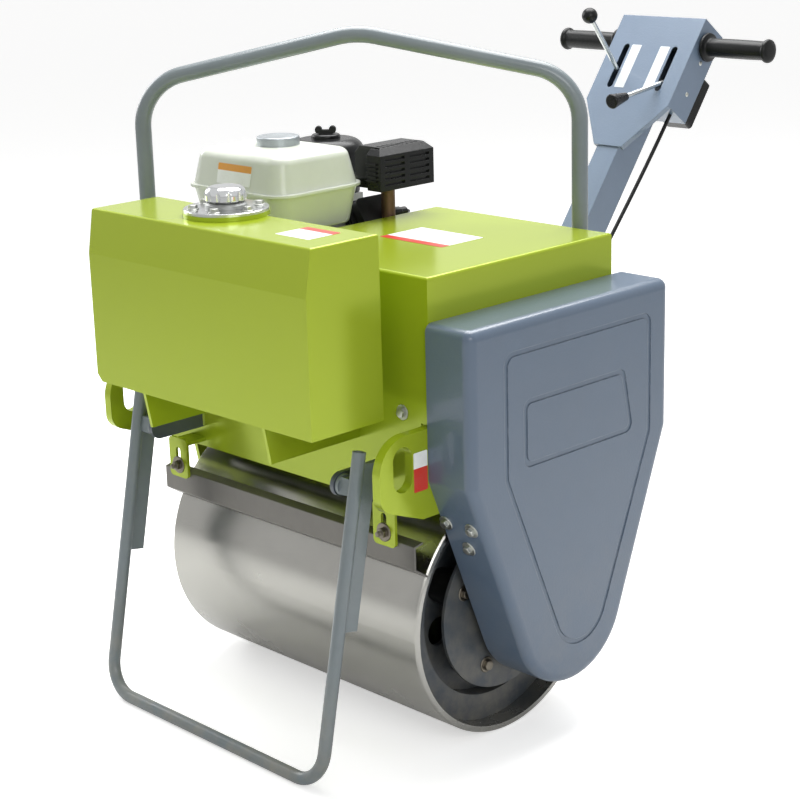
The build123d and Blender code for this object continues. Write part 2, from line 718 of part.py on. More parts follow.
def filler_cap():
    """Domed cap with finger scallops round its rim."""
    z = TANK_TOP_Z + FILLER_BOSS_T + FILLER_PLATE_T + FILLER_NECK_T + FILLER_THROAT_T
    at = Pos(FILLER_X, FILLER_Y, z)
    dome = Cylinder(FILLER_CAP_R, FILLER_CAP_T, align=(Align.CENTER, Align.CENTER, Align.MIN))
    dome = fillet(dome.edges().group_by(Axis.Z)[-1], FILLER_CAP_CROWN)
    for k in range(FILLER_CAP_LOBES):
        angle = k * 360 / FILLER_CAP_LOBES
        scallop = Cylinder(FILLER_SCALLOP_R, FILLER_CAP_T, align=(Align.CENTER, Align.CENTER, Align.MIN))
        dome -= Rot(0, 0, angle) * Pos(FILLER_CAP_R + FILLER_SCALLOP_OUT, 0, 0) * scallop
    return at * dome


def save_tank():
    save("water_tank", water_tank())
    save("tank_gussets", both_sides(tank_gusset()))
    save("filler_boss", filler_boss())
    save("filler_plate", filler_plate())
    save("filler_neck", filler_neck())
    save("filler_cap", filler_cap())


# Belt guard

def shield(centre, half, top, foot_r):
    """Shield outline: square shoulders, straight sides to the knee, tapered to a round foot."""
    rise = GUARD_KNEE_Z - GUARD_FOOT_Z
    reach = (half ** 2 + rise ** 2) ** 0.5
    contact = atan2(rise, half) - acos(foot_r / reach)
    x, z = foot_r * cos(contact), foot_r * sin(contact)
    sides = Polyline((-x, GUARD_FOOT_Z + z), (-half, GUARD_KNEE_Z), (-half, top), (half, top),
                     (half, GUARD_KNEE_Z), (x, GUARD_FOOT_Z + z))
    foot = ThreePointArc((x, GUARD_FOOT_Z + z), (0, GUARD_FOOT_Z - foot_r), (-x, GUARD_FOOT_Z + z))
    return Pos(centre, 0) * make_face([*sides.edges(), foot.edge()])


def guard_outline(inset):
    return shield(GUARD_CENTRE_X, GUARD_HALF - inset, GUARD_TOP_Z - inset, GUARD_FOOT_R - inset)


def pressed_line(face, inner, corner):
    """Ring between two outlines, sunk into the guard's outer face."""
    y0, y1 = GUARD_Y - EMBOSS_DEPTH, GUARD_Y + 1
    outside = slab_y(face, y0, y1)
    outside = fillet(outside.edges().filter_by(Axis.Y), corner)
    inside = slab_y(inner, y0 - 1, y1 + 1)
    return outside - fillet(inside.edges().filter_by(Axis.Y), corner - EMBOSS_W / 2)


def emboss():
    """Long pressed line that follows the guard's shape."""
    half, top = GUARD_HALF - EMBOSS_INSET, GUARD_TOP_Z - EMBOSS_TOP_SET
    outer = shield(EMBOSS_CENTRE_X, half, top, EMBOSS_FOOT_R)
    inner = shield(EMBOSS_CENTRE_X, half - EMBOSS_W, top - EMBOSS_W, EMBOSS_FOOT_R - EMBOSS_W)
    return pressed_line(outer, inner, EMBOSS_CORNER_R)


def panel_outline(inset):
    top = GUARD_TOP_Z - PANEL_TOP_SET - inset
    low = GUARD_TOP_Z - PANEL_TOP_SET - PANEL_H + inset
    return make_face(Polyline((PANEL_FRONT_X - inset, top), (PANEL_REAR_TOP_X + inset, top),
                              (PANEL_REAR_LOW_X + inset, low), (PANEL_FRONT_X - inset, low), close=True))


def belt_guard():
    """Pressed cover, open towards the machine, with two pressed lines in its outer face."""
    body = slab_y(guard_outline(0), SIDE_Y, GUARD_Y)
    body = fillet(body.edges().filter_by(Axis.Y), GUARD_SHOULDER_R)
    body = fillet(body.faces().sort_by(Axis.Y)[-1].edges(), GUARD_EDGE_R)
    hollow = slab_y(guard_outline(GUARD_SKIN), SIDE_Y - 1, GUARD_Y - GUARD_SKIN)
    hollow = fillet(hollow.edges().filter_by(Axis.Y), GUARD_SHOULDER_R - GUARD_SKIN)
    hollow = fillet(hollow.faces().sort_by(Axis.Y)[-1].edges(), GUARD_EDGE_R - GUARD_SKIN)
    panel = pressed_line(panel_outline(0), panel_outline(EMBOSS_W), PANEL_CORNER_R)
    return body - hollow - emboss() - panel


# Scraper and spray pipe

def scraper_bar():
    """Bent strip: top flange back, upright web, lip down to the drum."""
    x, t = SCRAPER_FACE_X, SCRAPER_T
    web_low = SCRAPER_LIP_Z + SCRAPER_LIP
    line = Polyline((SCRAPER_LIP_X + t, SCRAPER_LIP_Z), (x - t, web_low), (x - t, SCRAPER_TOP_Z - t),
                    (x - t - SCRAPER_FLANGE, SCRAPER_TOP_Z))
    strip = offset(line, amount=t / 2, side=Side.BOTH)
    return slab_y(make_face(strip), -SCRAPER_HALF, SCRAPER_HALF)


def scraper_bracket():
    """Slotted plate with a side return that hangs from the apron in front of the scraper."""
    x0 = SCRAPER_FACE_X - SCRAPER_T / 2
    z0, z1 = BRACKET_BOTTOM_Z, APRON_BOTTOM_Z + BRACKET_LAP
    face = Pos(BRACKET_Y, (z0 + z1) / 2) * RectangleRounded(BRACKET_W, z1 - z0, 8)
    slot = Pos(BRACKET_Y, z0 + BRACKET_SLOT_UP) * slot_shape(BRACKET_SLOT_L, BRACKET_SLOT_W)
    plate = slab_x(face - slot, x0, x0 + BRACKET_T)
    y0, y1 = BRACKET_Y - BRACKET_W / 2 + 4, BRACKET_Y + BRACKET_W / 2 - 4
    shelf = block(FRAME_FRONT_X, x0 + 1, y0, y1, z1 - 2 * BRACKET_SHELF_T, z1 - BRACKET_SHELF_T)
    return plate + shelf


def spray_pipe():
    """Pipe behind the front apron, on two straps."""
    pipe = disc_y(SPRAY_X, SPRAY_Z, SPRAY_R, -SPRAY_HALF, SPRAY_HALF)
    pipe -= disc_y(SPRAY_X, SPRAY_Z, SPRAY_R - SPRAY_WALL, -SPRAY_HALF - 1, SPRAY_HALF + 1)
    z0 = SPRAY_Z + SPRAY_R - SPRAY_WALL / 2
    y0, y1 = SPRAY_STRAP_Y - SPRAY_STRAP_W / 2, SPRAY_STRAP_Y + SPRAY_STRAP_W / 2
    strap = block(SPRAY_X - SPRAY_STRAP_T / 2, FRAME_FRONT_X - APRON_T, y0, y1, z0, z0 + SPRAY_STRAP_T)
    return pipe + strap + mirror(strap, about=Plane.XZ)


def lifting_bar():
    """Tube from the front apron's right end, diagonally over the machine, down to the rear apron."""
    front = (BAR_FRONT_X, -BAR_RIGHT_Y)
    rear = (FRAME_REAR_X - BAR_R - HOOD_SKIN, BAR_REAR_Y)
    middle = ((front[0] + rear[0]) / 2, (front[1] + rear[1]) / 2)
    points = [(*front, BAR_FOOT_Z), (*front, BAR_SHOULDER_Z), (*middle, BAR_PEAK_Z),
              (*rear, BAR_SHOULDER_Z), (*rear, BAR_FOOT_Z)]
    return bent_tube(points, [BAR_BEND_R, BAR_PEAK_BEND_R, BAR_BEND_R], BAR_R, BAR_WALL)


def bar_saddles():
    """Welded pads between the lifting bar's feet and the frame."""
    z0 = BAR_FOOT_Z + SADDLE_UP
    z1 = z0 + SADDLE_H
    y, rear_x = -BAR_RIGHT_Y, FRAME_REAR_X
    right = block(FRAME_FRONT_X, BAR_FRONT_X, y - SADDLE_PAD_HALF, y + SADDLE_PAD_HALF, z0, z1)
    rear = block(rear_x - SADDLE_T, rear_x, BAR_REAR_Y - SADDLE_HALF, BAR_REAR_Y + SADDLE_HALF, z0, z1)
    tube_r = rod((BAR_FRONT_X, y, z0 - SADDLE_H), (BAR_FRONT_X, y, z1 + SADDLE_H), BAR_R)
    back = rear_x - BAR_R - HOOD_SKIN
    tube_l = rod((back, BAR_REAR_Y, z0 - SADDLE_H), (back, BAR_REAR_Y, z1 + SADDLE_H), BAR_R)
    return Compound(children=[right - tube_r, rear - tube_l])


def save_front():
    save("belt_guard", belt_guard())
    save("scraper_bar", scraper_bar())
    save("scraper_brackets", both_sides(scraper_bracket(), BRACKET_SHIFT_Y))
    save("spray_pipe", spray_pipe())
    save("lifting_bar", lifting_bar())
    save("bar_saddles", bar_saddles())


# Stand, given upright about its pivot and leant forward

def stand_foot_drop():
    """How far below the pivot the foot's centre lies along the leg."""
    height = STAND_PIVOT_Z - STAND_TUBE_R
    return (height + STAND_LEG_OFFSET * sin(radians(STAND_LEAN))) / cos(radians(STAND_LEAN))


def stand_tube():
    top = (STAND_TOP_Z - STAND_PIVOT_Z) / cos(radians(STAND_LEAN))
    drop = stand_foot_drop()
    x = STAND_LEG_OFFSET
    points = [(x, -STAND_HALF, top), (x, -STAND_HALF, -drop), (x, STAND_HALF, -drop), (x, STAND_HALF, top)]
    return STAND_SEAT * bent_tube(points, [STAND_BEND_R, STAND_BEND_R], STAND_TUBE_R, STAND_WALL)


def stand_leg_core():
    """The straight leg as a full rod, for what is coped onto it."""
    x, y = STAND_LEG_OFFSET, STAND_HALF
    return rod((x, y, -stand_foot_drop() + STAND_BEND_R), (x, y, STAND_LUG_R + 40), STAND_TUBE_R)


def stand_rib():
    """Flat rib welded behind the upper leg."""
    x1 = STAND_LEG_OFFSET - STAND_TUBE_R + 0.5
    rib = block(x1 - STAND_RIB_W, x1, STAND_HALF - STAND_RIB_T / 2, STAND_HALF + STAND_RIB_T / 2,
                -STAND_RIB_FOOT, STAND_RIB_HEAD)
    return STAND_SEAT * (rib - stand_leg_core())


def stand_lug():
    """Eye that swings on the pivot pin, with the bar that joins it to the leg."""
    y0, y1 = STAND_LUG_Y - STAND_LUG_T / 2, STAND_LUG_Y + STAND_LUG_T / 2
    eye = disc_y(0, 0, STAND_LUG_R, y0, y1)
    x0, z = STAND_LEG_OFFSET - 2 * STAND_TUBE_R, STAND_ARM_HALF
    arm = block(x0, STAND_LEG_OFFSET, y1 - 0.5, STAND_HALF - STAND_TUBE_R + 1, -z, z)
    lug = eye + arm - disc_y(0, 0, PIVOT_PIN_R + PIN_PLAY, y0 - 1, STAND_HALF)
    return STAND_SEAT * (lug - stand_leg_core())


def stand_pivot_bracket():
    """Plate welded to the apron, with the pin the stand swings on."""
    y1 = STAND_LUG_Y - STAND_LUG_T / 2 - PIVOT_PLATE_GAP
    y0 = y1 - PIVOT_PLATE_T
    x, z, r = STAND_PIVOT_X, STAND_PIVOT_Z, PIVOT_PLATE_R
    outline = Polyline((FRAME_FRONT_X, z - r), (x, z - r), (x, z + r), (FRAME_FRONT_X, z + r), close=True)
    plate = slab_y(make_face(outline), y0, y1) + disc_y(x, z, r, y0, y1)
    pin = disc_y(x, z, PIVOT_PIN_R, y1, STAND_LUG_Y + STAND_LUG_T / 2 + 8)
    return plate + pin


def save_stand():
    save("stand_tube", Pos(0, STAND_SHIFT_Y, 0) * stand_tube())
    save("stand_ribs", both_sides(stand_rib(), STAND_SHIFT_Y))
    save("stand_lugs", both_sides(stand_lug(), STAND_SHIFT_Y))
    save("stand_brackets", both_sides(stand_pivot_bracket(), STAND_SHIFT_Y))


# Engine

def crankcase():
    feet = block(CASE_REAR_X - 8, CASE_FRONT_X + 8, CRANK_Y - CASE_HALF_Y - 8, CRANK_Y + CASE_HALF_Y + 8,
                 DECK_TOP_Z, DECK_TOP_Z + ENGINE_FOOT_T)
    case = block(CASE_REAR_X, CASE_FRONT_X, CRANK_Y - CASE_HALF_Y, CRANK_Y + CASE_HALF_Y,
                 DECK_TOP_Z + ENGINE_FOOT_T, FUEL_BOTTOM_Z)
    case = fillet(case.edges().filter_by(Axis.X), 22)
    case = fillet(case.edges().group_by(Axis.X)[0], 6)
    return case + feet


def cylinder_frame():
    """Frame along the cylinder's axis, starting at the crankshaft."""
    return Pos(CYL_X, CRANK_Y, CRANK_Z) * Rot(CYL_ANGLE - 90, 0, 0)


def cylinder():
    """Finned cylinder and head."""
    top = CYL_START + FINS * FIN_PITCH
    barrel = slab_z(Circle(CYL_CORE / 2), CYL_START, top)
    for k in range(FINS):
        foot = CYL_START + k * FIN_PITCH
        barrel += slab_z(RectangleRounded(FIN_SIZE, FIN_SIZE, 10), foot, foot + FIN_T)
    head = slab_z(RectangleRounded(FIN_SIZE - 10, FIN_SIZE - 10, 12), top, top + HEAD_T)
    return cylinder_frame() * (barrel + head)


def recoil_housing():
    """Round blower housing in front with air slots."""
    x0, x1 = CASE_FRONT_X, CASE_FRONT_X + RECOIL_T
    drum = slab_x(Pos(CRANK_Y, CRANK_Z) * Circle(RECOIL_R), x0, x1)
    drum = fillet(drum.edges().group_by(Axis.X)[-1], 12)
    hub = slab_x(Pos(CRANK_Y, CRANK_Z) * Circle(30), x1, x1 + 8)
    housing = drum + hub
    slot = Pos(0, 0, RECOIL_SLOT_CIRCLE) * Box(6, 5, RECOIL_SLOT_L)
    for k in range(RECOIL_SLOTS):
        housing -= Pos(x1, CRANK_Y, CRANK_Z) * Rot(k * 360 / RECOIL_SLOTS, 0, 0) * slot
    return housing


def fuel_section(taper, z):
    """One level of the moulded tank."""
    size_x, size_y = FUEL_LX - 2 * taper, FUEL_LY - 2 * taper
    return Pos(FUEL_X, FUEL_Y, z) * RectangleRounded(size_x, size_y, FUEL_CORNER_R - taper / 2)


def fuel_tank():
    """Moulded tank: rounded upper half, lip around its middle, narrower lower half."""
    lip_face = RectangleRounded(FUEL_LX + 2 * FUEL_LIP, FUEL_LY + 2 * FUEL_LIP, FUEL_CORNER_R + FUEL_LIP)
    lip = slab_z(Pos(FUEL_X, FUEL_Y) * lip_face, FUEL_LIP_Z - FUEL_LIP_T / 2, FUEL_LIP_Z + FUEL_LIP_T / 2)
    upper = loft([fuel_section(0, FUEL_LIP_Z), fuel_section(FUEL_TAPER, FUEL_TOP_Z)])
    upper = fillet(upper.edges().group_by(Axis.Z)[-1], FUEL_CROWN_R)
    lower = loft([fuel_section(FUEL_TAPER, FUEL_BOTTOM_Z), fuel_section(0, FUEL_LIP_Z)])
    lower = fillet(lower.edges().group_by(Axis.Z)[0], FUEL_CROWN_R / 2)
    return upper + lower + lip


def fuel_cap():
    cap = slab_z(Pos(FUEL_CAP_X, FUEL_CAP_Y) * Circle(FUEL_CAP_R), FUEL_TOP_Z, FUEL_TOP_Z + FUEL_CAP_T)
    return fillet(cap.edges().group_by(Axis.Z)[-1], 3)


def wing():
    """Two-lobed wing of the cleaner's knob, standing on the origin."""
    half, up = WING_L / 2 - WING_LOBE_R, WING_H - WING_LOBE_R
    outline = Pos(0, up / 2) * Rectangle(2 * half, up)
    for side in (-1, 1):
        outline += Pos(side * half, up) * Circle(WING_LOBE_R)
    return slab_y(outline, -WING_T / 2, WING_T / 2)


def air_cleaner():
    """Round cleaner: base, domed cover and wing knob."""
    at = Pos(CLEANER_X, CLEANER_Y)
    z0, z1 = CLEANER_BOTTOM_Z + CLEANER_BASE_H, CLEANER_TOP_Z
    base = slab_z(at * Circle(CLEANER_R - 10), CLEANER_BOTTOM_Z, z0)
    cover = slab_z(at * Circle(CLEANER_R), z0, z1)
    cover = fillet(cover.edges().group_by(Axis.Z)[-1], CLEANER_CROWN_R)
    foot = slab_z(at * Circle(KNOB_FOOT_R), z1, z1 + KNOB_FOOT_H)
    foot = fillet(foot.edges().group_by(Axis.Z)[-1], KNOB_FOOT_H / 2)
    knob = Pos(CLEANER_X, CLEANER_Y, z1 + KNOB_FOOT_H - 1) * Rot(0, 0, WING_TURN) * wing()
    return base + cover + foot + knob


def intake():
    """Carburettor with its float bowl, and the elbow up to the cleaner."""
    half = CARB_W / 2
    z0 = FUEL_BOTTOM_Z - 30
    body = block(CLEANER_X - half, CLEANER_X + half, CLEANER_Y + 10, CLEANER_Y + 30 + half,
                 z0, CLEANER_BOTTOM_Z)
    at = Pos(CLEANER_X, CLEANER_Y + 10)
    bowl = slab_z(at * Circle(CARB_BOWL_R), z0 - 34, CLEANER_BOTTOM_Z)
    return body + bowl


def muffler_shroud():
    """Box shroud with rounded top edges, louvres, top slots, front ribs and an end knob."""
    x0, x1, y0, y1 = MUFFLER_REAR_X, MUFFLER_FRONT_X, MUFFLER_RIGHT_Y, MUFFLER_LEFT_Y
    z0, z1 = MUFFLER_BOTTOM_Z, MUFFLER_TOP_Z
    shroud = block(x0, x1 - FACE_RIB_T, y0, y1, z0, z1)
    shroud = chamfer(shroud.edges().group_by(Axis.Z)[-1], MUFFLER_EDGE)
    pitch = (z1 - MUFFLER_EDGE - z0 - 8) / LOUVRE_ROWS
    middle = (x0 + x1 - FACE_RIB_T) / 2
    for row in range(LOUVRE_ROWS):
        z = z0 + 6 + pitch * (row + 0.5)
        for side in (-1, 1):
            x = middle + side * (LOUVRE_L / 2 + 6)
            shroud -= Pos(x, y1, z) * Box(LOUVRE_L, 2 * LOUVRE_DEPTH, LOUVRE_W)
    step = (x1 - x0 - 4 * TOP_SLOT_W) / TOP_SLOTS
    for k in range(TOP_SLOTS):
        x = x0 + 2 * TOP_SLOT_W + step * (k + 0.5)
        slot = Box(TOP_SLOT_W, TOP_SLOT_L, 2 * LOUVRE_DEPTH)
        shroud -= Pos(x, y1 - MUFFLER_EDGE - TOP_SLOT_L / 2, z1) * slot
    rib_pitch = (z1 - z0 - 3 * MUFFLER_EDGE) / FACE_RIBS
    for k in range(FACE_RIBS):
        z = z0 + MUFFLER_EDGE + rib_pitch * (k + 0.5)
        shroud += block(x1 - FACE_RIB_T - 1, x1, y0 + 8, y1 - 8, z, z + FACE_RIB_T)
    t = MUFFLER_WALL
    corner_x = FUEL_X - FUEL_LX / 2 - FUEL_LIP - MUFFLER_GAP
    corner_y = FUEL_Y + FUEL_LY / 2 + FUEL_LIP + MUFFLER_GAP
    shroud -= block(x0 + t, corner_x - t, y0 + t, y1 - t, z0 + MUFFLER_FLOOR, z1 - MUFFLER_EDGE)
    shroud -= block(corner_x, x1 + 1, y0 - 1, corner_y, z0 - 1, z1 + 1)
    shroud -= slab_z(Pos(EXHAUST_X, EXHAUST_Y) * Circle(MUFFLER_PORT_R), z0 - 1, z0 + 2 * MUFFLER_FLOOR)
    knob = slab_x(Pos(y1 - 22, z1 - 22) * Circle(SHROUD_KNOB_R), x0 - SHROUD_KNOB_T, x0)
    return shroud + knob


def exhaust_stub():
    """Pipe from the head to the muffler, with its flange."""
    top = MUFFLER_BOTTOM_Z
    pipe = rod((EXHAUST_X, EXHAUST_Y, CRANK_Z + EXHAUST_RISE), (EXHAUST_X, EXHAUST_Y, top), EXHAUST_R)
    flange = slab_z(Pos(EXHAUST_X, EXHAUST_Y) * Circle(EXHAUST_FLANGE_R), top - EXHAUST_FLANGE_T, top)
    return pipe + flange


def save_engine():
    save("crankcase", crankcase())
    save("cylinder", cylinder() - crankcase())
    save("recoil_housing", recoil_housing())
    save("fuel_tank", fuel_tank())
    save("fuel_cap", fuel_cap())
    save("air_cleaner", air_cleaner())
    save("intake", intake() - crankcase() - cylinder() - fuel_tank())
    save("muffler", muffler_shroud())
    save("exhaust_stub", exhaust_stub() - cylinder() - crankcase())


# Handle, given upright: X is its face, Z runs up the post

def pivot_tube():
    tube = disc_y(0, 0, PIVOT_TUBE_R, -PIVOT_TUBE_HALF, PIVOT_TUBE_HALF)
    return tube - disc_y(0, 0, HANDLE_PIN_R + PIN_PLAY, -PIVOT_TUBE_HALF - 1, PIVOT_TUBE_HALF + 1)


def handle_post():
    """Rectangular tube, coped onto the pivot tube."""
    x0, x1, half = POST_FACE - POST_D, POST_FACE, POST_W / 2
    post = block(x0, x1, -half, half, 0, CONSOLE_SHOULDER)
    post -= block(x0 + POST_WALL, x1 - POST_WALL, -half + POST_WALL, half - POST_WALL,
                  -1, CONSOLE_SHOULDER + 1)
    return post - disc_y(0, 0, PIVOT_TUBE_R, -POST_W, POST_W)


def nose_outline(inset):
    """The tapered lower end of the console's face."""
    half, nose = CONSOLE_HALF - inset, CONSOLE_NOSE_HALF - inset
    return make_face(Polyline((-nose, CONSOLE_START), (nose, CONSOLE_START), (half, CONSOLE_SHOULDER),
                              (-half, CONSOLE_SHOULDER), close=True))


def console():
    """Sheet box with two lever slots in its face, which runs on as a tapered nose over the post."""
    x1, x0, half = CONSOLE_FACE, CONSOLE_FACE - CONSOLE_D, CONSOLE_HALF
    u0, u1, t = CONSOLE_SHOULDER, CONSOLE_END, CONSOLE_SKIN
    box = block(x0, x1, -half, half, u0, u1)
    box -= block(x0 + t, x1 - t, -half + t, half - t, u0 + t, u1 - t)
    nose = slab_x(nose_outline(0), x1 - NOSE_T, x1)
    lip = slab_x(nose_outline(0) - nose_outline(2 * t), x1 - NOSE_LIP, x1)
    lip -= block(x0, x1 - NOSE_T, -POST_W / 2, POST_W / 2, 0, u0)
    console_sheet = box + nose + lip
    for side in (-1, 1):
        slot = Pos(side * LEVER_SLOT_Y, LEVER_SLOT_U) * slot_shape(LEVER_SLOT_L, LEVER_SLOT_W)
        console_sheet -= slab_x(slot, x1 - 2 * t, x1 + 1)
    bar = disc_y(GRIP_N, GRIP_U, GRIP_BAR_R, -GRIP_END, GRIP_END)
    return console_sheet - bar


def handle_bar():
    end = GRIP_END - GRIP_END_T
    bar = disc_y(GRIP_N, GRIP_U, GRIP_BAR_R, -end, end)
    return bar - disc_y(GRIP_N, GRIP_U, GRIP_BAR_R - GRIP_BAR_WALL, -end - 1, end + 1)


def grip():
    """Rubber sleeve with a flange at the root and a bead at the end."""
    sleeve = disc_y(GRIP_N, GRIP_U, GRIP_R, GRIP_START, GRIP_END)
    sleeve += disc_y(GRIP_N, GRIP_U, GRIP_ROOT_R, GRIP_START, GRIP_START + GRIP_ROOT_T)
    sleeve += disc_y(GRIP_N, GRIP_U, GRIP_FLANGE_R, GRIP_END - GRIP_FLANGE_T, GRIP_END)
    return sleeve - disc_y(GRIP_N, GRIP_U, GRIP_BAR_R, GRIP_START - 1, GRIP_END - GRIP_END_T)


LEVER_ROOT_X = CONSOLE_FACE - CONSOLE_D + CONSOLE_SKIN
RIGHT_LEVER_FOOT = (LEVER_ROOT_X - LEVER_R, -LEVER_SLOT_Y, LEVER_SLOT_U - RIGHT_LEVER_ROOT)
LEFT_LEVER_FOOT = (LEVER_ROOT_X - LEVER_R, LEVER_SLOT_Y, LEVER_SLOT_U + LEFT_LEVER_ROOT)
RIGHT_LEVER_TIP = (CONSOLE_FACE + RIGHT_LEVER_REACH, -LEVER_SLOT_Y, LEVER_SLOT_U + RIGHT_LEVER_RISE)
LEFT_LEVER_TIP = (CONSOLE_FACE + LEFT_LEVER_REACH, LEVER_SLOT_Y, LEVER_SLOT_U - LEFT_LEVER_DROP)


def levers():
    """Two rods that stand on the console's rear wall and come out through its slots."""
    rear = block(LEVER_ROOT_X - CONSOLE_D, LEVER_ROOT_X, -CONSOLE_HALF, CONSOLE_HALF,
                 CONSOLE_START, CONSOLE_END)
    right = rod(RIGHT_LEVER_FOOT, RIGHT_LEVER_TIP, LEVER_R) - rear
    left = rod(LEFT_LEVER_FOOT, LEFT_LEVER_TIP, LEVER_R) - rear
    return Compound(children=[right, left])


def lever_knobs():
    """A ball on the right lever and a tapered knob on the left one."""
    ball = Pos(*RIGHT_LEVER_TIP) * Sphere(BALL_R)
    ball -= rod(RIGHT_LEVER_FOOT, RIGHT_LEVER_TIP, LEVER_R)
    foot, tip = Vector(*LEFT_LEVER_FOOT), Vector(*LEFT_LEVER_TIP)
    way = (tip - foot).normalized()
    cone = Cone(LEVER_R + KNOB_ROOT, KNOB_R, KNOB_L, align=(Align.CENTER, Align.CENTER, Align.MIN))
    cone = fillet(cone.edges().group_by(Axis.Z)[-1], KNOB_ROOT)
    knob = Plane(origin=tip - way * LEVER_R, z_dir=way) * cone
    knob -= rod(LEFT_LEVER_FOOT, LEFT_LEVER_TIP, LEVER_R)
    return Compound(children=[ball, knob])


def switch_box():
    """Black box behind the console on the left."""
    x1 = CONSOLE_FACE - CONSOLE_D
    y1 = CONSOLE_HALF - SWITCH_SET
    u0 = CONSOLE_SHOULDER + SWITCH_SET
    box = block(x1 - SWITCH_T, x1, y1 - SWITCH_W, y1, u0, u0 + SWITCH_L)
    return fillet(box.edges().filter_by(Axis.X), 6)


CABLE_TOP = (CONSOLE_FACE - CABLE_IN, CABLE_Y, CONSOLE_SHOULDER)
CABLE_FOOT = (CABLE_FOOT_X, CABLE_FOOT_Y, PIVOT_TUBE_R + CABLE_FOOT_RISE)


def control_cable():
    """Sheathed cable from the console's lower wall down to the stop on the pivot tube."""
    top, foot = CABLE_TOP, CABLE_FOOT
    third = (top[2] - foot[2]) / 3
    line = Spline([foot, (foot[0], foot[1] + CABLE_BOW, foot[2] + third),
                   (top[0] + CABLE_BOW, top[1], foot[2] + 2 * third), top])
    start = Plane(origin=line @ 0, z_dir=line % 0)
    cable = sweep(start * Circle(CABLE_R), path=line)
    above = block(-CONSOLE_D, CONSOLE_D, 0, CONSOLE_HALF, CONSOLE_SHOULDER, CONSOLE_END)
    return cable - above - cable_stop()


def cable_stop():
    """Threaded stop on the pivot tube that the cable's sheath ends in."""
    x, y, u = CABLE_FOOT
    stop = rod((x, y, PIVOT_TUBE_R - CABLE_R), (x, y, u), CABLE_STOP_R)
    return stop - disc_y(0, 0, PIVOT_TUBE_R, 0, 2 * y)


def handle_clevis():
    """Bracket plate on the rear apron that holds one end of the handle's pin."""
    x, z, r = HANDLE_PIVOT_X, HANDLE_PIVOT_Z, CLEVIS_R
    y0, y1 = CLEVIS_Y - CLEVIS_T / 2, CLEVIS_Y + CLEVIS_T / 2
    outline = Polyline((FRAME_REAR_X, FRAME_BOTTOM_Z), (x, z - r), (x, z + r),
                       (FRAME_REAR_X, HOOD_SKIRT_Z - HOOD_SKIN), close=True)
    plate = slab_y(make_face(outline), y0, y1) + disc_y(x, z, r, y0, y1)
    return plate - disc_y(x, z, HANDLE_PIN_R, y0 - 1, y1 + 1)


def handle_pin():
    half = CLEVIS_Y + CLEVIS_T / 2 + HANDLE_PIN_HEAD
    pin = disc_y(HANDLE_PIVOT_X, HANDLE_PIVOT_Z, HANDLE_PIN_R, -half, half)
    head = disc_y(HANDLE_PIVOT_X, HANDLE_PIVOT_Z, HANDLE_PIN_R + HANDLE_PIN_HEAD,
                  half, half + HANDLE_PIN_HEAD)
    return pin + head + mirror(head, about=Plane.XZ)


def save_handle():
    seat = HANDLE_SEAT
    save("handle_pivot_tube", seat * pivot_tube())
    save("handle_post", seat * handle_post())
    save("console", seat * console())
    save("handle_bar", seat * handle_bar())
    save("grips", seat * both_sides(grip()))
    save("levers", seat * levers())
    save("lever_knobs", seat * lever_knobs())
    save("switch_box", seat * switch_box())
    save("control_cable", seat * control_cable())
    save("cable_stop", seat * cable_stop())
    save("handle_clevis", both_sides(handle_clevis()))
    save("handle_pin", handle_pin())


save_drum()
save_frame()
save_tank()
save_front()
save_stand()
save_engine()
save_handle()
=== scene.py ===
"""Walk-behind road roller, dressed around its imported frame.

Every length is in metres, +X is forward, +Y the machine's left and +Z up.
The CAD nodes keep their shapes and get finishes; fasteners, welds, labels and moulded
pieces are surfaces worked out on grids and ride on the same bodies.
"""
import logging
import math
from dataclasses import dataclass, field
from enum import Enum

import bmesh
import bpy
import numpy as np
from mathutils import Matrix, Vector


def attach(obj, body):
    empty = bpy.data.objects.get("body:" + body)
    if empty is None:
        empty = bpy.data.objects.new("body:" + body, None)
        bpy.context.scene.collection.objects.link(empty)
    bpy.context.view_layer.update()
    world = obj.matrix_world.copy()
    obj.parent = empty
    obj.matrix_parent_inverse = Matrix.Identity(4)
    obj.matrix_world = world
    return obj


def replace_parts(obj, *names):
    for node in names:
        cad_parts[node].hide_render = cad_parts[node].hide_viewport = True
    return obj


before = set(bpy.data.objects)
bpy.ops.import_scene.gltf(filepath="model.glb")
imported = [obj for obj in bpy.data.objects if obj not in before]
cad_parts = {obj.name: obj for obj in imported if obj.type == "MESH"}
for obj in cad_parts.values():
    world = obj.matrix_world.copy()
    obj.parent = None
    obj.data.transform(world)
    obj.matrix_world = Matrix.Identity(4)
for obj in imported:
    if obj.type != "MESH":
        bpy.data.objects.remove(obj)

log = logging.getLogger("road_roller")
TAU = 2.0 * math.pi
Point = tuple[float, float, float]
Socket = bpy.types.NodeSocket


class Body(Enum):
    """The moving bodies of the machine."""

    CHASSIS = "chassis"
    DRUM = "drum"
    STAND = "stand"
    HANDLE = "handle"


class Grain(Enum):
    """Fine relief of a finish: stretch of its noise along X, Y, Z, its scale and its depth."""

    PEEL = ((1.0, 1.0, 1.0), 260.0, 0.00025)
    TURNED = ((6.0, 900.0, 6.0), 1.0, 0.00006)
    ROLLED = ((1.0, 1.0, 1.0), 520.0, 0.00010)
    CAST = ((1.0, 1.0, 1.0), 900.0, 0.00035)
    MOULDED = ((1.0, 1.0, 1.0), 1500.0, 0.00012)
    SPUN = ((260.0, 260.0, 8.0), 1.0, 0.00005)
    SOFT = ((1.0, 1.0, 1.0), 1100.0, 0.00022)


class Bands(Enum):
    """The direction of a printed film's UV map in which its bands follow each other."""

    ALONG = 0
    ACROSS = 1


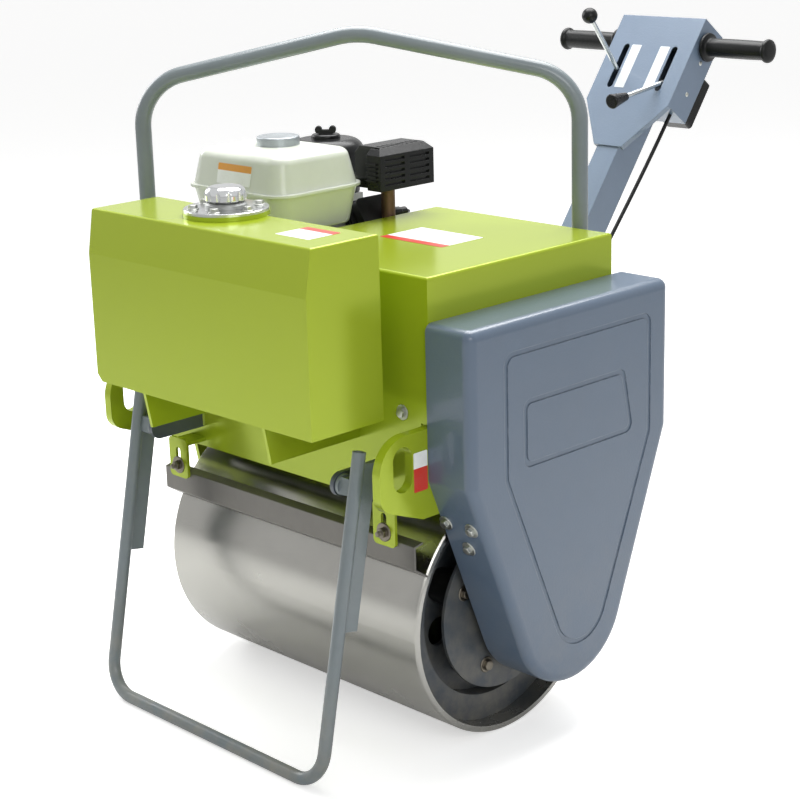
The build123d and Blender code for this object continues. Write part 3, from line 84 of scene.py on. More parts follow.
def srgb(code: str) -> tuple[float, float, float, float]:
    """Turn a hex colour into linear values.

    Args:
        code: six hex digits.

    Returns:
        Linear red, green, blue and an alpha of one.
    """
    parts = np.array([int(code[k:k + 2], 16) for k in (0, 2, 4)]) / 255.0
    linear = np.where(parts <= 0.04045, parts / 12.92, ((parts + 0.055) / 1.055) ** 2.4)
    return (float(linear[0]), float(linear[1]), float(linear[2]), 1.0)


@dataclass
class Wiring:
    """Adds and joins the nodes of one node tree."""

    tree: bpy.types.NodeTree

    def add(self, kind: str, **values: object) -> bpy.types.Node:
        """Add a node and set its properties.

        Args:
            kind: the node type's name after "ShaderNode", or a full name with "Node".
            values: properties of the node.

        Returns:
            The new node.
        """
        node = self.tree.nodes.new(kind if kind.startswith("Node") else "ShaderNode" + kind)
        for name, value in values.items():
            setattr(node, name, value)
        return node

    def join(self, source: Socket, target: Socket) -> None:
        """Link an output to an input."""
        self.tree.links.new(source, target)

    def feed(self, target: Socket, value: object) -> None:
        """Link an input to a socket, or set it to a value."""
        if isinstance(value, Socket):
            self.join(value, target)
        else:
            target.default_value = value

    def maths(self, what: str, first: object, second: object = 0.5, clamp: bool = False) -> Socket:
        """Add a Math node.

        Args:
            what: the operation.
            first: a socket or a number.
            second: a socket or a number.
            clamp: whether the result stays within 0 and 1.

        Returns:
            The result's socket.
        """
        node = self.add("Math", operation=what, use_clamp=clamp)
        self.feed(node.inputs[0], first)
        self.feed(node.inputs[1], second)
        return node.outputs[0]

    def times(self, first: object, second: object, clamp: bool = False) -> Socket:
        """Multiply two sockets or numbers and return the product's socket."""
        return self.maths("MULTIPLY", first, second, clamp)

    def noise(self, vector: Socket, scale: object, detail: float, rough: float = 0.5) -> Socket:
        """Add a noise texture.

        Args:
            vector: its coordinates.
            scale: a socket or a number.
            detail: how many finer layers it has.
            rough: the weight of the finer layers.

        Returns:
            The value's socket.
        """
        node = self.add("TexNoise", noise_dimensions="3D")
        self.join(vector, node.inputs["Vector"])
        self.feed(node.inputs["Scale"], scale)
        node.inputs["Detail"].default_value = detail
        node.inputs["Roughness"].default_value = rough
        return node.outputs[0]

    def patches(self, noise: Socket, floor: float, gain: float) -> Socket:
        """Turn noise into patches: what rises above the floor, steepened and clamped."""
        return self.times(self.maths("SUBTRACT", noise, floor), gain, True)

    def blend(self, mask: Socket, low: object, high: object) -> Socket:
        """Mix two colours by a mask.

        Args:
            mask: 0 for low, 1 for high.
            low: a colour or a socket.
            high: a colour or a socket.

        Returns:
            The mixed colour's socket.
        """
        node = self.add("Mix", data_type="RGBA", clamp_factor=True)
        self.join(mask, node.inputs["Factor"])
        self.feed(node.inputs[6], low)
        self.feed(node.inputs[7], high)
        return node.outputs[2]

    def group(self, tree: bpy.types.NodeTree, **values: object) -> bpy.types.Node:
        """Add a shared node group.

        Args:
            tree: the group.
            values: a socket or a value for each input, its name in small letters.

        Returns:
            The group's node.
        """
        node = self.add("Group", node_tree=tree)
        for name, value in values.items():
            self.feed(node.inputs[name.capitalize()], value)
        return node

    def steps(self, source: Socket, stops: list[tuple], smooth: bool = True) -> Socket:
        """Add a colour ramp.

        Args:
            source: the value that is looked up.
            stops: positions and colours.
            smooth: whether the colours run into each other.

        Returns:
            The colour's socket.
        """
        node = self.add("ValToRGB")
        ramp = node.color_ramp
        ramp.interpolation = "LINEAR" if smooth else "CONSTANT"
        while len(ramp.elements) < len(stops):
            ramp.elements.new(1.0)
        for element, (position, colour) in zip(ramp.elements, stops):
            element.position = position
            element.color = colour
        self.join(source, node.inputs[0])
        return node.outputs[0]


@dataclass
class Effects:
    """Builds the shared node groups once and hands them out."""

    made: dict[str, bpy.types.NodeTree] = field(default_factory=dict)

    def _start(self, name: str, inputs: dict[str, tuple[str, object]],
               outputs: dict[str, str]) -> tuple[Wiring, bpy.types.Node, bpy.types.Node]:
        """Make an empty group with its sockets.

        Args:
            name: the group's name.
            inputs: for each input its socket type and its value.
            outputs: for each output its socket type.

        Returns:
            The wiring of the new group, its input node and its output node.
        """
        tree = bpy.data.node_groups.new(name, "ShaderNodeTree")
        for label, (kind, value) in inputs.items():
            kind = "NodeSocket" + kind
            socket = tree.interface.new_socket(label, in_out="INPUT", socket_type=kind)
            if value is not None:
                socket.default_value = value
        for label, kind in outputs.items():
            tree.interface.new_socket(label, in_out="OUTPUT", socket_type="NodeSocket" + kind)
        self.made[name] = tree
        w = Wiring(tree)
        return w, w.add("NodeGroupInput"), w.add("NodeGroupOutput")

    def mottle(self) -> bpy.types.NodeTree:
        """Cloudy tone: two scales of noise added, as a value round one half."""
        if "mottle" not in self.made:
            w, start, end = self._start(
                "mottle", {"Vector": ("Vector", None), "Scale": ("Float", 6.0)}, {"Value": "Float"})
            place, scale = start.outputs["Vector"], start.outputs["Scale"]
            large = w.noise(place, scale, 3.0)
            small = w.noise(place, w.times(scale, 7.3), 5.0)
            w.join(w.maths("ADD", w.times(large, 0.7), w.times(small, 0.3)), end.inputs["Value"])
        return self.made["mottle"]

    def edges(self) -> bpy.types.NodeTree:
        """Worn, rounded edges: where a bevelled normal leaves the face's own, broken by noise."""
        if "edges" not in self.made:
            w, start, end = self._start(
                "edges",
                {"Vector": ("Vector", None), "Radius": ("Float", 0.001), "Amount": ("Float", 0.5)},
                {"Mask": "Float", "Normal": "Vector"})
            bevel = w.add("Bevel", samples=4)
            w.join(start.outputs["Radius"], bevel.inputs["Radius"])
            own = w.add("NewGeometry")
            dot = w.add("VectorMath", operation="DOT_PRODUCT")
            w.join(bevel.outputs[0], dot.inputs[0])
            w.join(own.outputs["Normal"], dot.inputs[1])
            bend = w.times(w.maths("SUBTRACT", 1.0, dot.outputs["Value"]), 9.0, True)
            patch = w.patches(w.noise(start.outputs["Vector"], 38.0, 6.0), 0.46, 7.0)
            w.join(w.times(w.times(bend, patch), start.outputs["Amount"], True), end.inputs["Mask"])
            w.join(bevel.outputs[0], end.inputs["Normal"])
        return self.made["edges"]

    def grime(self) -> bpy.types.NodeTree:
        """Dust that thins out above a height, in patches, as a mask."""
        if "grime" not in self.made:
            w, start, end = self._start(
                "grime",
                {"Vector": ("Vector", None), "Height": ("Float", 0.3), "Amount": ("Float", 0.4)},
                {"Mask": "Float"})
            place = start.outputs["Vector"]
            split = w.add("SeparateXYZ")
            w.join(place, split.inputs[0])
            share = w.maths("DIVIDE", split.outputs[2], start.outputs["Height"])
            level = w.maths("SUBTRACT", 1.0, share, True)
            patch = w.patches(w.noise(place, 17.0, 7.0, 0.62), 0.38, 3.2)
            veil = w.maths("ADD", w.times(level, patch), w.times(patch, 0.10), True)
            w.join(w.times(veil, start.outputs["Amount"], True), end.inputs["Mask"])
        return self.made["grime"]

    def grain(self) -> bpy.types.NodeTree:
        """Fine relief: noise on coordinates stretched along each axis, as a height."""
        if "grain" not in self.made:
            w, start, end = self._start(
                "grain",
                {"Vector": ("Vector", None), "Stretch": ("Vector", (1.0, 1.0, 1.0)),
                 "Scale": ("Float", 300.0)},
                {"Height": "Float"})
            stretch = w.add("VectorMath", operation="MULTIPLY")
            w.join(start.outputs["Vector"], stretch.inputs[0])
            w.join(start.outputs["Stretch"], stretch.inputs[1])
            w.join(w.noise(stretch.outputs[0], start.outputs["Scale"], 3.0), end.inputs["Height"])
        return self.made["grain"]


EFFECTS = Effects()
TONE_LOW, TONE_HIGH = 0.32, 0.68
DUST_ROUGH = 0.45
COAT_ROUGH = 0.07
MILKY_DEPTH = (0.012, 0.012, 0.010)


@dataclass(frozen=True)
class Finish:
    """A surface finish: base colour, gloss, tone, edge wear, dust and fine relief."""

    name: str
    colour: str
    rough: float = 0.34
    metal: float = 0.0
    coat: float = 0.0
    grain: Grain = Grain.PEEL
    tone: float = 0.05
    tone_scale: float = 5.0
    wear: float = 0.2
    wear_colour: str = "8C8C88"
    wear_metal: float = 0.7
    edge: float = 0.0012
    dust: float = 0.2
    dust_height: float = 0.35
    dust_colour: str = "A39A86"
    rough_swing: float = 0.10
    milky: float = 0.0
    gloss: float = 0.5

    def material(self) -> bpy.types.Material:
        """Build the finish once, as a material.

        Returns:
            The material, made anew or found by name.
        """
        known = bpy.data.materials.get(self.name)
        if known is not None:
            return known
        made = bpy.data.materials.new(self.name)
        made.use_nodes = True
        w = Wiring(made.node_tree)
        shader = made.node_tree.nodes["Principled BSDF"]
        place = w.add("TexCoord").outputs["Object"]
        stretch, scale, depth = self.grain.value
        tone = w.group(EFFECTS.mottle(), vector=place, scale=self.tone_scale).outputs["Value"]
        edges = w.group(EFFECTS.edges(), vector=place, radius=self.edge, amount=self.wear)
        grime = w.group(EFFECTS.grime(), vector=place, height=self.dust_height, amount=self.dust)
        grain = w.group(EFFECTS.grain(), vector=place, stretch=stretch, scale=scale)
        worn, dusty = edges.outputs["Mask"], grime.outputs["Mask"]
        base = np.array(srgb(self.colour)[:3])
        dark, light = (tuple(np.clip(base * (1.0 + swing), 0, 1)) + (1.0,)
                       for swing in (-self.tone, self.tone))
        toned = w.steps(tone, [(TONE_LOW, dark), (TONE_HIGH, light)])
        painted = w.blend(worn, toned, srgb(self.wear_colour))
        w.join(w.blend(dusty, painted, srgb(self.dust_colour)), shader.inputs["Base Color"])
        swing = w.times(w.maths("SUBTRACT", tone, 0.5), 2.0 * self.rough_swing)
        rough = w.maths("ADD", w.maths("ADD", swing, self.rough), w.times(dusty, DUST_ROUGH), True)
        w.join(rough, shader.inputs["Roughness"])
        metal = w.maths("ADD", w.times(worn, self.wear_metal - self.metal), self.metal, True)
        clean = w.maths("SUBTRACT", 1.0, dusty, True)
        w.join(w.times(metal, clean, True), shader.inputs["Metallic"])
        shader.inputs["Specular IOR Level"].default_value = self.gloss
        if self.coat > 0.0:
            w.join(w.times(clean, self.coat, True), shader.inputs["Coat Weight"])
            shader.inputs["Coat Roughness"].default_value = COAT_ROUGH
        if self.milky > 0.0:
            shader.inputs["Subsurface Weight"].default_value = self.milky
            shader.inputs["Subsurface Radius"].default_value = MILKY_DEPTH
            shader.inputs["Subsurface Scale"].default_value = 1.0
        bump = w.add("Bump")
        bump.inputs["Strength"].default_value = 1.0
        bump.inputs["Distance"].default_value = depth
        w.join(grain.outputs["Height"], bump.inputs["Height"])
        w.join(edges.outputs["Normal"], bump.inputs["Normal"])
        w.join(bump.outputs[0], shader.inputs["Normal"])
        return made


@dataclass(frozen=True)
class LabelFinish:
    """Printed film: bands of plain colour, read from the label's own UV map."""

    name: str
    bands: tuple[tuple[float, str], ...]
    run: Bands = Bands.ALONG
    rough: float = 0.28

    def material(self) -> bpy.types.Material:
        """Build the label's material.

        Returns:
            The new material.
        """
        made = bpy.data.materials.new(self.name)
        made.use_nodes = True
        w = Wiring(made.node_tree)
        shader = made.node_tree.nodes["Principled BSDF"]
        split = w.add("SeparateXYZ")
        w.join(w.add("UVMap", uv_map="film").outputs[0], split.inputs[0])
        stops = [(stop, srgb(code)) for stop, code in self.bands]
        printed = w.steps(split.outputs[self.run.value], stops, smooth=False)
        place = w.add("TexCoord").outputs["Object"]
        tone = w.group(EFFECTS.mottle(), vector=place, scale=40.0).outputs["Value"]
        shade = w.patches(tone, 0.45, 0.5)
        w.join(w.blend(shade, printed, srgb("8F8C80")), shader.inputs["Base Color"])
        w.join(w.maths("ADD", w.times(shade, 0.6), self.rough, True), shader.inputs["Roughness"])
        return made


LIME = Finish(
    "lime_paint", "B0B61A", rough=0.32, coat=0.40, tone_scale=3.0, wear=0.30, wear_colour="7C8550",
    edge=0.0022, dust=0.10)
# Belt guard's slate: its own grey-blue paint, darkened further as painted shade from the
# surroundings on the low guard.
SLATE_WITH_PAINTED_SHADE = Finish(
    "slate_paint_darkened_as_shade", "536376", rough=0.33, coat=0.40, tone_scale=3.0, wear=0.30, wear_colour="A9B0B6",
    edge=0.0020, dust=0.16)
TUBE_GREY = Finish(
    "tube_paint", "707A7E", coat=0.35, tone=0.07, tone_scale=9.0, wear=0.55, wear_colour="B9BDBE",
    edge=0.0015, dust=0.45, dust_height=0.22)
ROLLED_STEEL = Finish(
    "turned_steel", "A8A7A2", rough=0.25, metal=1.0, grain=Grain.TURNED, tone=0.06, tone_scale=4.0,
    wear_colour="E6E5E0", wear_metal=1.0, dust=0.12, dust_height=0.12, rough_swing=0.07)
# Drum end walls and drive discs: their own dark grey paint, darkened further as painted shade for
# the recess inside the drum.
INNER_GREY_WITH_PAINTED_SHADE = Finish(
    "inner_grey_paint_darkened_as_shade", "3C4248", rough=0.42, coat=0.1, tone=0.09, wear=0.4, dust=0.35,
    dust_height=0.45)
ZINC = Finish(
    "zinc_plate", "B9BBB6", rough=0.30, metal=1.0, grain=Grain.ROLLED, tone=0.10, tone_scale=60.0,
    wear_metal=1.0, edge=0.0006)
CHROME = Finish(
    "bright_chrome", "D9DBDC", rough=0.10, metal=1.0, grain=Grain.SPUN, tone=0.03, wear=0.0,
    wear_metal=1.0, edge=0.0010, dust=0.05, rough_swing=0.04)
POLISHED = Finish(
    "polished_plate_steel", "C9CBCC", rough=0.20, metal=1.0, grain=Grain.SPUN, tone_scale=30.0,
    wear=0.0, wear_metal=1.0, edge=0.0006, dust=0.08)
GREY_CAST = Finish(
    "grey_cast_collar", "A6A8A6", rough=0.38, metal=0.6, grain=Grain.CAST, tone=0.08,
    tone_scale=40.0, edge=0.0008, dust=0.1)
MILK = Finish(
    "milky_tank_plastic", "CDD2C6", rough=0.30, coat=0.25, grain=Grain.MOULDED, tone=0.03,
    tone_scale=9.0, wear=0.0, wear_metal=0.0, edge=0.0020, dust=0.05, milky=0.25)
KNURLED = Finish(
    "fuel_cap_metal", "9DA3A6", rough=0.33, metal=0.85, grain=Grain.CAST, tone=0.06,
    tone_scale=30.0, edge=0.0008, dust=0.08)
BLACK_SHELL = Finish(
    "black_shell_plastic", "0B0D0E", rough=0.26, grain=Grain.MOULDED, tone=0.12, tone_scale=14.0,
    wear=0.15, wear_colour="22262A", wear_metal=0.0, edge=0.0014, dust=0.02, dust_height=0.9,
    gloss=0.28)
RUBBER = Finish(
    "black_rubber", "0B0D0E", rough=0.30, grain=Grain.SOFT, tone=0.15, tone_scale=20.0, wear=0.15,
    wear_colour="26282A", wear_metal=0.0, dust=0.04, dust_height=0.5, gloss=0.26)
ALLOY = Finish(
    "engine_cast_alloy", "A2A3A0", rough=0.46, metal=0.75, grain=Grain.CAST, tone=0.10,
    tone_scale=18.0, wear_metal=0.9, edge=0.0010, dust=0.25, dust_height=0.9)
BLACK_METAL = Finish(
    "black_engine_metal", "0E1011", rough=0.36, grain=Grain.CAST, tone=0.15, tone_scale=20.0,
    wear=0.4, wear_colour="4A4C4C", edge=0.0009, dust=0.07, dust_height=0.9, gloss=0.35)
EXHAUST = Finish(
    "heat_browned_steel", "6E5546", rough=0.50, metal=0.8, grain=Grain.ROLLED, tone=0.30,
    tone_scale=25.0, wear=0.3, edge=0.0008, dust_height=0.9)
LEVER_ROD = Finish(
    "lever_rod_steel", "C9CCCB", rough=0.24, metal=1.0, grain=Grain.ROLLED, wear=0.1,
    wear_metal=1.0, edge=0.0005, dust=0.05)
WELD_PAINT = Finish(
    "weld_over_paint", "9DAE2E", coat=0.40, tone=0.08, tone_scale=30.0, wear=0.15,
    wear_colour="7C8550", edge=0.0006, dust=0.15)

PALE_SLATE = Finish(
    "console_paint", "6C7C90", coat=0.40, tone_scale=3.0, wear=0.30, wear_colour="A9B0B6",
    edge=0.0020, dust=0.12)
DARK_SLATE = Finish(
    "dark_slate_paint", "454D58", rough=0.36, coat=0.30, tone=0.06, tone_scale=6.0, wear=0.40,
    wear_colour="9AA0A4")
SCRAPER_STEEL = Finish(
    "scraper_strip_steel", "6A6864", metal=0.75, grain=Grain.ROLLED, tone=0.10, tone_scale=9.0,
    wear=0.35, wear_colour="B0AFAA", edge=0.0010, dust=0.15)
DULL_ZINC = Finish(
    "dull_nut_steel", "7B756A", rough=0.36, metal=1.0, grain=Grain.ROLLED, tone=0.18,
    tone_scale=70.0, wear=0.25, wear_metal=1.0, edge=0.0006)
CAST_IRON = Finish(
    "gearbox_cast_iron", "2A2D2F", rough=0.55, metal=0.4, grain=Grain.CAST, tone=0.12,
    tone_scale=14.0, edge=0.0010, dust_height=0.9)

NODE_FINISHES: dict[str, Finish] = {
    **dict.fromkeys(("left_side_plate", "right_side_plate", "front_apron", "rear_apron", "hood",
                     "deck_plate", "water_tank", "tank_gussets", "filler_boss", "left_hanger",
                     "right_hanger", "scraper_brackets", "bar_saddles", "handle_clevis"), LIME),
    **dict.fromkeys(("console", "handle_post", "handle_pivot_tube"), PALE_SLATE),
    **dict.fromkeys(("lifting_bar", "handle_bar", "stand_tube", "stand_ribs", "stand_lugs"),
                    TUBE_GREY),
    # The drum's inner walls and discs are darkened as painted shade of their recess.
    **dict.fromkeys(("drum_end_walls", "drive_discs"), INNER_GREY_WITH_PAINTED_SHADE),
    **dict.fromkeys(("bearing_housings", "crankcase", "intake"), ALLOY),
    **dict.fromkeys(("handle_pin", "bearing_cap", "cable_stop", "drum_shafts", "spray_pipe"), ZINC),
    **dict.fromkeys(("muffler", "air_cleaner", "switch_box", "lever_knobs"), BLACK_SHELL),
    **dict.fromkeys(("grips", "rubber_buffers", "control_cable"), RUBBER),
    **dict.fromkeys(("recoil_housing", "cylinder"), BLACK_METAL),
    # The belt guard's slate is darkened as painted shade.
    "belt_guard": SLATE_WITH_PAINTED_SHADE, "stand_brackets": DARK_SLATE, "gearbox": CAST_IRON,
    "drum_shell": ROLLED_STEEL, "scraper_bar": SCRAPER_STEEL, "levers": LEVER_ROD,
    "filler_plate": POLISHED, "filler_neck": GREY_CAST, "filler_cap": CHROME,
    "fuel_tank": MILK, "fuel_cap": KNURLED, "exhaust_stub": EXHAUST,
}


def seat(at: Point, axis: Point, turn: float = 0.0) -> np.ndarray:
    """Place a local frame: its Z along the axis, its X level, turned about Z.

    Args:
        at: the frame's origin.
        axis: direction of local Z.
        turn: angle about that axis, in radians.

    Returns:
        A 4 by 4 matrix.
    """
    z = np.array(axis, dtype=float)
    z /= np.linalg.norm(z)
    hint = np.array((0.0, 0.0, 1.0)) if abs(z[2]) < 0.95 else np.array((0.0, 1.0, 0.0))
    x = np.cross(hint, z)
    x /= np.linalg.norm(x)
    y = np.cross(z, x)
    c, s = math.cos(turn), math.sin(turn)
    made = np.eye(4)
    made[:3, 0], made[:3, 1], made[:3, 2], made[:3, 3] = c * x + s * y, c * y - s * x, z, at
    return made


def put(grid: np.ndarray, matrix: np.ndarray) -> np.ndarray:
    """Carry a grid's points through a matrix: rotation times point plus shift."""
    return grid @ matrix[:3, :3].T + matrix[:3, 3]


def turned(profile: list[tuple[float, float]], steps: int = 32) -> np.ndarray:
    """Turn a profile about Z: x = r cos a, y = r sin a, z = h for each (r, h) and angle a.

    Args:
        profile: radii and heights.
        steps: columns round the axis.

    Returns:
        A grid of profile rows by angle columns.
    """
    rh = np.array(profile, dtype=float)
    a = np.linspace(0.0, TAU, steps, endpoint=False)
    rise = np.repeat(rh[:, 1:], steps, axis=1)
    return np.stack([rh[:, :1] * np.cos(a), rh[:, :1] * np.sin(a), rise], axis=-1)


def hex_head(across: float, height: float) -> np.ndarray:
    """A hexagon head whose corners are turned off to a circle above.

    The radius at an angle is half the width across flats over the cosine of the angle from the
    nearest flat's middle.

    Args:
        across: width across the flats.
        height: height of the head.

    Returns:
        A grid from the top's middle down to the foot.
    """
    a = np.linspace(0.0, TAU, 48, endpoint=False)
    flat = across / 2.0 / np.cos(np.mod(a, TAU / 6) - TAU / 12)
    ring = np.full_like(a, across / 2.0 * 0.93)
    radii = np.stack([ring * 0.0, ring * 0.80, ring, np.minimum(flat, across * 0.53), flat, flat])
    heights = np.array([1.0, 1.0, 0.97, 0.93, 0.80, 0.0]) * height
    rise = np.repeat(heights[:, None], 48, axis=1)
    return np.stack([radii * np.cos(a), radii * np.sin(a), rise], axis=-1)


def washer(radius: float, thick: float) -> np.ndarray:
    """A flat ring with broken edges, from its bore's top to its foot."""
    return turned([(0.0, thick), (radius * 0.93, thick), (radius, thick * 0.6), (radius, 0.0)], 40)


def rounded_ring(half_x: float, half_y: float, corner: float, per_corner: int = 8) -> np.ndarray:
    """Outline of a rounded rectangle: each corner's centre plus its radius times (cos a, sin a).

    Args:
        half_x: half length along X.
        half_y: half length along Y.
        corner: corner radius.
        per_corner: points on each corner.

    Returns:
        Points round the outline, two columns.
    """
    a = np.linspace(0.0, TAU / 4, per_corner)
    angles = np.concatenate([a, a + TAU / 4, a + TAU / 2, a + 3 * TAU / 4])
    x = np.repeat([1.0, -1.0, -1.0, 1.0], per_corner) * (half_x - corner)
    y = np.repeat([1.0, 1.0, -1.0, -1.0], per_corner) * (half_y - corner)
    return np.stack([x + corner * np.cos(angles), y + corner * np.sin(angles)], axis=-1)


def film(half_x: float, half_y: float, corner: float, lift: float) -> np.ndarray:
    """A thin raised patch: rings of the outline from its middle, the last dropped to the surface.

    Args:
        half_x: half length along X.
        half_y: half length along Y.
        corner: corner radius.
        lift: thickness of the film.

    Returns:
        A grid of rings by outline points.
    """
    ring = rounded_ring(half_x, half_y, corner)
    scale = np.array([0.0, 0.5, 1.0, 1.0])
    flat = scale[:, None, None] * ring[None]
    heights = np.array([lift, lift, lift, -lift])
    return np.concatenate([flat, np.repeat(heights[:, None, None], len(ring), axis=1)], axis=-1)


def tube(path: np.ndarray, radius: np.ndarray, up: Point, steps: int = 16) -> np.ndarray:
    """A tube on a path: each ring is (side cos a + normal sin a) times the radius.

    Args:
        path: points of the centreline.
        radius: the radius at each point.
        up: a direction that the path never runs along.
        steps: columns round the tube.

    Returns:
        A grid of rings along the path.
    """
    along = np.gradient(path, axis=0)
    along /= np.linalg.norm(along, axis=1, keepdims=True)
    side = np.cross(along, np.array(up, dtype=float))
    side /= np.linalg.norm(side, axis=1, keepdims=True)
    normal = np.cross(side, along)
    a = np.linspace(0.0, TAU, steps, endpoint=False)[None, :, None]
    ring = side[:, None] * np.cos(a) + normal[:, None] * np.sin(a)
    return path[:, None] + ring * radius[:, None, None]


def weld(start: Point, end: Point, size: float, up: Point) -> np.ndarray:
    """A weld bead: a tube whose radius swells and dips with each drop, thin at both ends.

    Args:
        start: the bead's start.
        end: the bead's end.
        size: radius of the bead.
        up: a direction across the bead.

    Returns:
        The bead's grid.
    """
    length = float(np.linalg.norm(np.subtract(end, start)))
    count = max(12, int(length / 0.0012))
    t = np.linspace(0.0, 1.0, count)
    path = np.array(start) + t[:, None] * np.subtract(end, start)
    run = t * length * TAU
    drops = 1.0 + 0.10 * np.sin(run / 0.0042) + 0.06 * np.sin(run / 0.0131 + 1.3)
    ends = np.sqrt(np.clip(1.0 - (2.0 * t - 1.0) ** 40, 0.0, 1.0))
    return tube(path, size * drops * ends, up, 8)


def quads_of(index: np.ndarray) -> np.ndarray:
    """The four corners of each cell of a grid of point numbers."""
    corners = [index[:-1, :-1], index[1:, :-1], index[1:, 1:], index[:-1, 1:]]
    return np.stack(corners, axis=-1).reshape(-1, 4)


@dataclass
class Patchwork:
    """Gathers grids of quads into one mesh."""

    name: str
    points: list[np.ndarray] = field(default_factory=list)
    quads: list[np.ndarray] = field(default_factory=list)
    uvs: list[np.ndarray] = field(default_factory=list)
    count: int = 0

    def add(self, grid: np.ndarray, wrap: bool = True, uv: np.ndarray | None = None) -> "Patchwork":
        """Take a grid in.

        Args:
            grid: rows by columns by three.
            wrap: whether the last column joins the first.
            uv: rows by columns by two, for a printed film.

        Returns:
            The same patchwork.
        """
        rows, columns = grid.shape[:2]
        index = np.arange(rows * columns).reshape(rows, columns) + self.count
        if wrap:
            index = np.concatenate([index, index[:, :1]], axis=1)
        self.quads.append(quads_of(index))
        self.points.append(grid.reshape(-1, 3))
        self.uvs.append(np.zeros((rows * columns, 2)) if uv is None else uv.reshape(-1, 2))
        self.count += rows * columns
        return self

    def gather(self, grids: list[np.ndarray]) -> None:
        """Take in several closed grids."""
        for grid in grids:
            self.add(grid)

    def build(self, finish: "Finish | LabelFinish", slot: str, body: Body = Body.CHASSIS,
              smooth: float = 35.0, facing: Point | None = None) -> bpy.types.Object:
        """Make the object, close its poles, turn its faces outwards and let it ride on a body.

        Args:
            finish: its finish.
            slot: the record's material slot; not used.
            body: the body that it moves with.
            smooth: edges sharper than this many degrees stay sharp.
            facing: for an open patch, the side its faces point to.

        Returns:
            The finished object.
        """
        points, quads, uvs = (np.concatenate(rows) for rows in (self.points, self.quads, self.uvs))
        mesh = bpy.data.meshes.new(self.name)
        mesh.from_pydata(points.tolist(), [], quads.tolist())
        layer = mesh.uv_layers.new(name="film")
        corners = np.empty(len(mesh.loops), dtype=np.int32)
        mesh.loops.foreach_get("vertex_index", corners)
        layer.data.foreach_set("uv", uvs[corners].astype(np.float32).ravel())
        work = bmesh.new()
        work.from_mesh(mesh)
        bmesh.ops.remove_doubles(work, verts=work.verts, dist=1e-7)
        bmesh.ops.dissolve_degenerate(work, edges=work.edges, dist=1e-8)
        bmesh.ops.recalc_face_normals(work, faces=work.faces)
        if facing is not None:
            total = sum((f.normal * f.calc_area() for f in work.faces), Vector())
            if total.dot(Vector(facing)) < 0.0:
                bmesh.ops.reverse_faces(work, faces=work.faces)
        work.to_mesh(mesh)
        work.free()
        mesh.polygons.foreach_set("use_smooth", np.ones(len(mesh.polygons), dtype=bool))
        mesh.set_sharp_from_angle(angle=math.radians(smooth))
        mesh.materials.append(finish.material())
        made = bpy.data.objects.new(self.name, mesh)
        bpy.context.scene.collection.objects.link(made)
        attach(made, body.value)
        log.info("%s: %d faces on %s", self.name, len(mesh.polygons), body.value)
        return made


@dataclass(frozen=True)
class Bolt:
    """A hexagon bolt or screw with its washer, standing on a surface."""

    across: float = 0.013
    height: float = 0.0055
    washer_r: float = 0.011
    washer_t: float = 0.0016
    stub_r: float = 0.0
    stub_h: float = 0.0

    def grids(self, at: Point, axis: Point, turn: float = 0.0) -> list[np.ndarray]:
        """The bolt's surfaces, seated on a point and looking along an axis.

        Args:
            at: the point on the surface.
            axis: the surface's normal.
            turn: the head's angle, in radians.

        Returns:
            The grids of washer, head and thread end.
        """
        here = seat(at, axis, turn)
        above = here.copy()
        above[:3, 3] += here[:3, 2] * self.washer_t
        parts = [put(washer(self.washer_r, self.washer_t), here),
                 put(hex_head(self.across, self.height), above)]
        if self.stub_r > 0.0:
            top = self.height + self.stub_h
            h = np.linspace(self.height, top, 16)
            r = self.stub_r * (1.0 + 0.05 * np.cos(h / 0.00125 * TAU))
            tip = [(0.0, top + 0.0003), (self.stub_r * 0.85, top + 0.0002)]
            profile = tip + list(zip(r[::-1], h[::-1]))
            parts.append(put(turned(profile, 20), above))
        return parts


@dataclass
class TankDressing:
    """Flange screws and weld seams of the water tank."""

    filler: tuple[float, float] = (0.263, -0.042)
    circle: float = 0.052
    plate_top: float = 0.862
    screws: int = 6
    gusset_y: float = 0.145
    bead_side: float = 0.004
    bead_x: tuple[float, float] = (0.230, 0.362)
    bead_z: float = 0.5665

    def flange_screws(self) -> bpy.types.Object:
        """Six screws on a circle round the neck."""
        work = Patchwork("filler_flange_screws")
        screw = Bolt(across=0.013, height=0.0055, washer_r=0.0095, washer_t=0.0014)
        for k in range(self.screws):
            a = TAU * (k + 0.5) / self.screws
            x = self.filler[0] + self.circle * math.cos(a)
            y = self.filler[1] + self.circle * math.sin(a)
            work.gather(screw.grids((x, y, self.plate_top), (0, 0, 1), 0.7 * k))
        return work.build(ZINC, "zinc_steel")

    def seams(self) -> bpy.types.Object:
        """Weld beads where the gussets meet the tank's underside."""
        work = Patchwork("tank_weld_seams")
        x0, x1 = self.bead_x
        for gusset in (-self.gusset_y, self.gusset_y):
            for y in (gusset - self.bead_side, gusset + self.bead_side):
                work.add(weld((x0, y, self.bead_z), (x1, y, self.bead_z), 0.0024, (0, 0, 1)))
        return work.build(WELD_PAINT, "lime_paint")

    def build(self) -> None:
        """Make the tank's pieces."""
        self.flange_screws()
        self.seams()


